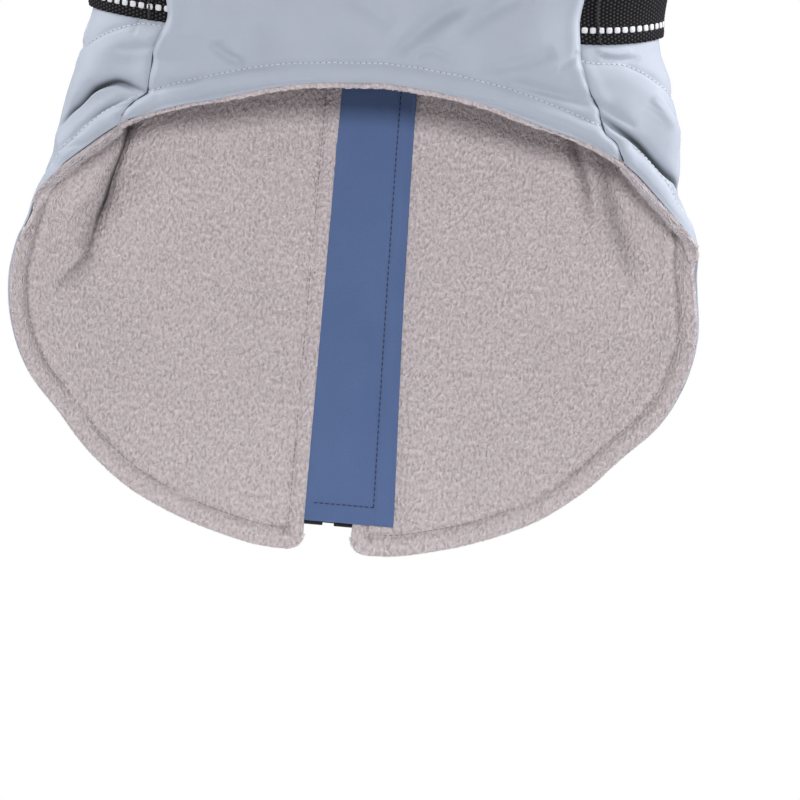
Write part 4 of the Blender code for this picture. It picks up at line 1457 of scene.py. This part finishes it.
def placket_stitches():
    """Down the loose side and across the bottom, in navy thread."""
    drop = np.linspace(8, PLACKET_END - PLACKET_LOW, 300)
    across = follow(PLACKET_SEWN, "across", drop)
    low = np.full(60, PLACKET_END - PLACKET_LOW)
    over = np.linspace(-9, 22.5, 60)

    def beside_edge(angle, drop):
        return placket_height(follow(PLACKET_SEWN, "across", drop), drop) - 0.3

    def along_bottom(angle, drop):
        return placket_height(np.interp(angle, zip_angle(low, over), over), drop) - 0.45

    down = stitches(zip_angle(drop, across), drop, beside_edge)
    flat = stitches(zip_angle(low, over), low, along_bottom)
    joined("placket_stitching", [down, flat], NAVY_THREAD, "placket")


fleece_stitches()
placket_stitches()


# %% Loose fibres at the fleece's edges
def fuzz():
    """Tufts that stick out of the rolled edge: each starts inside the rim, points away from the cloth and
    leans at random. Their pitch is 0.55 mm, so they merge into an uneven fringe."""
    chance = np.random.default_rng(8)
    tuft = lathe_bead(1.9, 0.30, rings=2, sides=4)
    parts = []

    def row(sign, angle, drop, far, height):
        """Tufts that start at a distance past the hem and at a height, and point away from the cloth."""
        foot, foot_drop = inset(angle, drop, -far)
        tip, tip_drop = inset(angle, drop, -far - 1)
        spread = chance.uniform(-1, 1, len(angle))
        at = layer(sign * foot, foot_drop, height + 0.6 * spread)
        ahead = unit(body_point(sign * tip, tip_drop) - body_point(sign * foot, foot_drop))
        ahead = ahead + 0.5 * (spread + 0.8 * (height > 0))[:, None] * outward(sign * foot, foot_drop)
        ahead = unit(ahead + chance.normal(0, 0.42, at.shape))
        parts.append(repeated(tuft, at, ahead, chance.normal(0, 1, at.shape)))

    for short in (0.0, 1.6):
        angle, drop = even_places(*belly_hem(), 0.6)
        row(1, angle, drop, 3.4 - short + 0 * angle, 0.9 + 0.35 * short + 0 * angle)
    for side, sign in SIDES.items():
        angle, drop = back_hem(side)
        for turn in np.radians((90, 108, 126, 144, 160)):
            shown = angle > (0 if turn < 1.6 else 87)
            some, low = even_places(angle[shown], drop[shown], 0.6)
            thick = 0.9 + 1.5 * np.interp(some, (80, 92, 112, 126), (0, 1, 1, 0.4))
            height = -1.2 - (thick - 0.9) - thick * np.cos(turn) * (1 + fat_at(some) * np.sin(turn))
            row(sign, some, low, roll_at(some) * np.sin(turn) - 0.3, height + lean_at(some) * np.sin(turn))
    joined("fleece_fringe", parts, FLEECE_TUFT, "fleece")


fuzz()


# %% Dashes of the belt
DASH_FROM_EDGE, DASH_PITCH = 6.6, 4.6


def dashes():
    """Raised pads of reflective thread, 3.4 by 3.2 mm, in two lines on each half of the belt."""
    pad = pad_shape(3.4, 3.2, 0.55)
    for side, sign in SIDES.items():
        parts = []
        for line in (-1, 1):
            angle, drop = belt_line(side, 400)
            middle = line * (BELT_WIDE / 2 - DASH_FROM_EDGE)
            angle, drop = even_places(angle[:-6], drop[:-6] + middle, DASH_PITCH)
            at = layer(sign * angle, drop, BELT_OUT - 0.1)
            parts.append(repeated(pad, at, np.gradient(at, axis=0), outward(sign * angle, drop)))
        joined(f"reflective_dashes_{side}", parts, DASH_THREAD, "webbing")


BELT_STITCH_IN = 23.0  # from the belt's end to the stitching that holds it


def belt_stitches():
    """A line of long black stitches across each end of the belt, zigzagged, over the dashes."""
    long = lathe_bead(3.0, 0.42, rings=4, sides=6, square=3.0)
    parts = []
    for side, sign in SIDES.items():
        angle, drop = belt_line(side, 800)
        steps = np.linalg.norm(np.diff(body_point(angle, drop), axis=0), axis=1)
        from_end = np.cumsum(steps[::-1])[::-1]
        middle = int(np.argmin(np.abs(from_end - BELT_STITCH_IN)))
        step = np.linspace(-BELT_WIDE / 2 + 1.5, BELT_WIDE / 2 - 1.5, 15)
        place = sign * np.full(15, angle[middle]), drop[middle] + step
        for slant in (-1, 1):
            ahead = np.tile((0.45 * slant, 0.0, 1.0), (15, 1))
            parts.append(repeated(long, layer(*place, BELT_OUT + 0.55), ahead, outward(*place)))
    joined("belt_end_stitching", parts, BLACK_THREAD, "webbing")


belt_stitches()
dashes()

# %% [markdown]
# ## Zip
# Each tape is a narrow woven strip. A coil of bent wire is sewn on each, and the two coils lock turn by turn.
# Two offset rows of slanted beads give the closed chain.

# %% Tapes
TAPE_IN, TAPE_OUT = 1.0, 1.9
TAPE_TOP, TAPE_END = 1.5, 524.0
COIL_HALF, COIL_TOP, COIL_END = 2.8, 14.4, 516.0


def tape(side, sign):
    """A zip tape: a woven strip between the coil and the back panel's edge."""
    drop = np.linspace(TAPE_TOP, TAPE_END, 101)[:, None]
    across = np.linspace(COIL_HALF + SEAM_GAP, ZIP_HALF - SEAM_GAP, 9)
    across = -across[::-1] if sign < 0 else across
    across = np.broadcast_to(across, (len(drop), 9))
    drop = np.broadcast_to(drop, across.shape)
    angle = zip_angle(drop, across)
    rib = 0.12 * np.cos(2 * np.pi * across / 2.4)
    seen, behind = layer(angle, drop, TAPE_OUT + rib), layer(angle, drop, TAPE_IN)
    return cloth(f"tape_{side}", seen, behind, (across, drop), TAPE_CLOTH, "tape", f"zip_tape_{side}")


tapes = {side: tape(side, sign) for side, sign in SIDES.items()}


# %% Coil, stop
def hard_finish(name, colour, rough, **fixed):
    """Moulded or enamelled: one colour, with a fine uneven gloss."""
    made, tree, shader = new_material(name, **fixed)
    place = node(tree, "ShaderNodeTexCoord").outputs["Object"]
    grain = noise_of(tree, place, 700.0, Detail=3.0)
    light = tuple(1.6 * c for c in colour)
    gloss = blend_colours(tree, grain.outputs[0], (*colour, 1), (*light, 1))
    tree.links.new(gloss, shader.inputs["Base Color"])
    tree.links.new(maths(tree, "MULTIPLY_ADD", grain.outputs[0], 0.25, rough), shader.inputs["Roughness"])
    bump(tree, shader, grain.outputs[0], 0.00003)
    return made


COIL_PLASTIC = hard_finish("coil_plastic", (0.012, 0.012, 0.013), 0.35)
ENAMEL = hard_finish("black_enamel", (0.03, 0.03, 0.033), 0.22, Metallic=0.6)


def coil():
    """Two rows of teeth, each a squashed bead that slants and reaches just past the middle."""
    tooth = lathe_bead(4.4, 0.72, rings=3, sides=6, square=4.0)
    parts = []
    for sign in (-1, 1):
        drop = np.arange(COIL_TOP + 1.2 + (0.75 if sign > 0 else 0), COIL_END - 1.0, 1.5)
        angle = zip_angle(drop, sign * 0.9)
        at = layer(angle, drop, 1.95)
        across = np.tile((float(sign), 0.0, 0.16), (len(drop), 1))
        parts.append(repeated(tooth, at, across, outward(angle, drop)))
    joined("coil_teeth", parts, COIL_PLASTIC, "coil", stands_for=["zip_coil"])


coil()


# %% Slider, pull and stop
PIN_DROP, PIN_OUT = 18.0, 5.8
PLATE_LEVELS = ((0.86, -1.0), (0.97, -0.8), (1.0, -0.35), (1.0, 0.35), (0.97, 0.8), (0.86, 1.0))
back_of_pin = float(body_point(0.0, PIN_DROP)[1])


def plate(length, width, thick, centre, sides=28, square=5.0):
    """A plate with rounded edges about a centre, its length upright and its faces to the back and the front."""
    shape = pad_shape(length, width, thick / 2, sides, square, PLATE_LEVELS)
    return repeated(shape, np.array([centre], float), np.array([[0, 0, 1.0]]), np.array([[0, 1.0, 0]]))


def swept(path, across, thick, wide, closed=False, sides=12):
    """A rounded oblong section carried along a path: thick goes square to the path, wide goes along across."""
    path = np.asarray(path, float)
    if closed:
        ahead = np.roll(path, -1, axis=0) - np.roll(path, 1, axis=0)
    else:
        ahead = np.gradient(path, axis=0)
    across = unit(np.broadcast_to(np.asarray(across, float), path.shape))
    aside = unit(np.cross(ahead, across))
    turn = 2 * np.pi * (np.arange(sides) + 0.5) / sides
    u = squared(np.cos(turn), 0.55) * wide / 2
    v = squared(np.sin(turn), 0.55) * thick / 2
    points = path[:, None] + across[:, None] * u[:, None] + aside[:, None] * v[:, None]
    index = np.arange(len(path) * sides).reshape(len(path), sides)
    rows = np.vstack([index, index[:1]]) if closed else index
    ends = [] if closed else [index[:1, ::-1], index[-1:]]
    return points.reshape(-1, 3), [f[:, ::-1] for f in (ring_quads(rows), *ends)]


def slider():
    """Two plates round the coil, a post between them at the top, raised side flanges, and the pull's bridge."""
    back = back_of_pin
    parts = [
        plate(14.0, 10.0, 1.2, (0, back + 3.9, -PIN_DROP)),
        plate(14.0, 10.0, 1.0, (0, back - 0.2, -PIN_DROP)),
        plate(2.8, 3.0, 4.6, (0, back + 1.8, -PIN_DROP + 5.4), 16, 3.0),
    ]
    for sign in (-1, 1):
        flange = [(sign * 4.45, back + 3.3, -PIN_DROP - 1.0 + up) for up in (-5.2, -2.0, 2.0, 5.2)]
        parts.append(swept(flange, (1, 0, 0), 1.0, 0.9))
    turn = np.linspace(-0.1, math.pi + 0.1, 25)
    arch = np.stack([0 * turn, back + 4.4 + 3.05 * np.sin(turn), -PIN_DROP + 4.45 * np.cos(turn)], -1)
    parts.append(swept(arch, (1, 0, 0), 1.1, 3.2, sides=14))
    joined("slider_body", parts, ENAMEL, "metal", stands_for=["zip_slider"])


def pull():
    """A bar through the bridge, an arm down each side of it, and a tab with a raised rim round a sunk panel."""
    out = back_of_pin + PIN_OUT
    turn = 2 * np.pi * (np.arange(48) + 0.5) / 48

    def oblong(wide, tall, low, power):
        """A closed oblong path round a middle that lies low millimetres under the pin."""
        x = wide * squared(np.cos(turn), power)
        return np.stack([x, 0 * x + out, -PIN_DROP - low + tall * squared(np.sin(turn), power)], -1)

    parts = [
        swept(oblong(3.15, 4.5, 4.5, 0.5), (0, 1, 0), 1.4, 1.4, closed=True),
        plate(21.6, 7.8, 1.0, (0, out, -PIN_DROP - 19.2)),
        swept(oblong(2.9, 9.6, 19.2, 0.4), (0, 1, 0), 0.9, 1.6, closed=True),
    ]
    joined("pull_tab", parts, ENAMEL, "metal", body="pull", stands_for=["zip_pull"])


def stop():
    """A metal strip crimped over both tapes below the coil, with two pressed ridges."""
    drop = (COIL_END + SEAM_GAP + 523.0) / 2
    at = layer(np.zeros(1), np.full(1, drop), 2.9)
    strip = pad_shape(8.6, 6.7, 0.7, 28, 5.0, PLATE_LEVELS)
    parts = [repeated(strip, at, np.array([[1.0, 0, 0]]), outward(0.0, drop)[None])]
    for shift in (-1.5, 1.5):
        path = layer(zip_angle(drop + shift, np.linspace(-3.2, 3.2, 7)), drop + shift + np.zeros(7), 3.5)
        parts.append(swept(path, (0, 0, 1), 0.6, 1.0))
    joined("stop_strip", parts, ENAMEL, "metal", stands_for=["zip_stop"])


slider()
pull()
stop()


# %% Dark threads in the seams, as painted shadow
def seam_shadow_threads():
    """Dark thread down each belly seam, above and below the armhole, and along the hem where shell meets fleece,
    coloured as the shadow in the gap: painted shadow.
    """
    parts = []

    def tube(angle, drop, height, size):
        path = layer(angle, drop, height, "outside")
        parts.append(swept(path, outward(angle, drop), size, size, sides=6))

    for side, sign in SIDES.items():
        for top, low in ((3.0, ARM_TOP - 2), (ARM_BOTTOM + 2, SEAM_END - 0.5)):
            drop = np.linspace(top, low, int((low - top) / 1.5))
            foot = np.interp(drop, LIFT_DROPS, (0, 1, 1, 0))
            tube(sign * (seam_angle(side, drop) - 0.2 * foot), drop, 0.95 + 1.1 * foot, 0.95)
        angle, drop = even_places(*back_hem(side), 1.2)
        shown = angle > 99
        angle, drop = inset(angle[shown], drop[shown], -1.0)
        tube(sign * angle, drop, 0.75, 0.6)
    angle, drop = inset(*even_places(*belly_hem(), 1.2), -1.0)
    tube(angle, drop, 0.9, 0.6)
    joined("seam_shadow_threads", parts, SEAM_SHADOW_THREAD, "shell")


seam_shadow_threads()

# %% [markdown]
# ## What each sheet was cut to
# A table gives each piece of cloth the size of its flat cut and an area, which is what the pattern piece
# covers. The script does nothing with the table.

CUTS = (
    (fleece["left"], (0.225, 0.538), 0.0950),
    (fleece["right"], (0.225, 0.538), 0.0970),
    (fleece["belly"], (0.215, 0.326), 0.0530),
    (shell["left"], (0.225, 0.538), 0.0974),
    (shell["right"], (0.225, 0.538), 0.0994),
    (shell["belly"], (0.215, 0.323), 0.0533),
)
for cloth, flat, area in CUTS:
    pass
print("added:", sum(coat_pieces.values()), "triangles")

# %% The floor
floor_size, floor_height = 2.3, -0.80
turn = np.linspace(0, 2 * np.pi, 97)[:-1]
disc = np.stack([floor_size * np.cos(turn), floor_size * np.sin(turn), np.full(96, floor_height)], -1)
floor_mesh = bpy.data.meshes.new("floor")
floor_mesh.from_pydata(disc.tolist(), [], [list(range(96))])
floor = placed("floor", floor_mesh)
floor_mesh.materials.append(new_material("floor_pale", Base_Color=(0.6, 0.6, 0.6, 1), Roughness=0.9)[0])
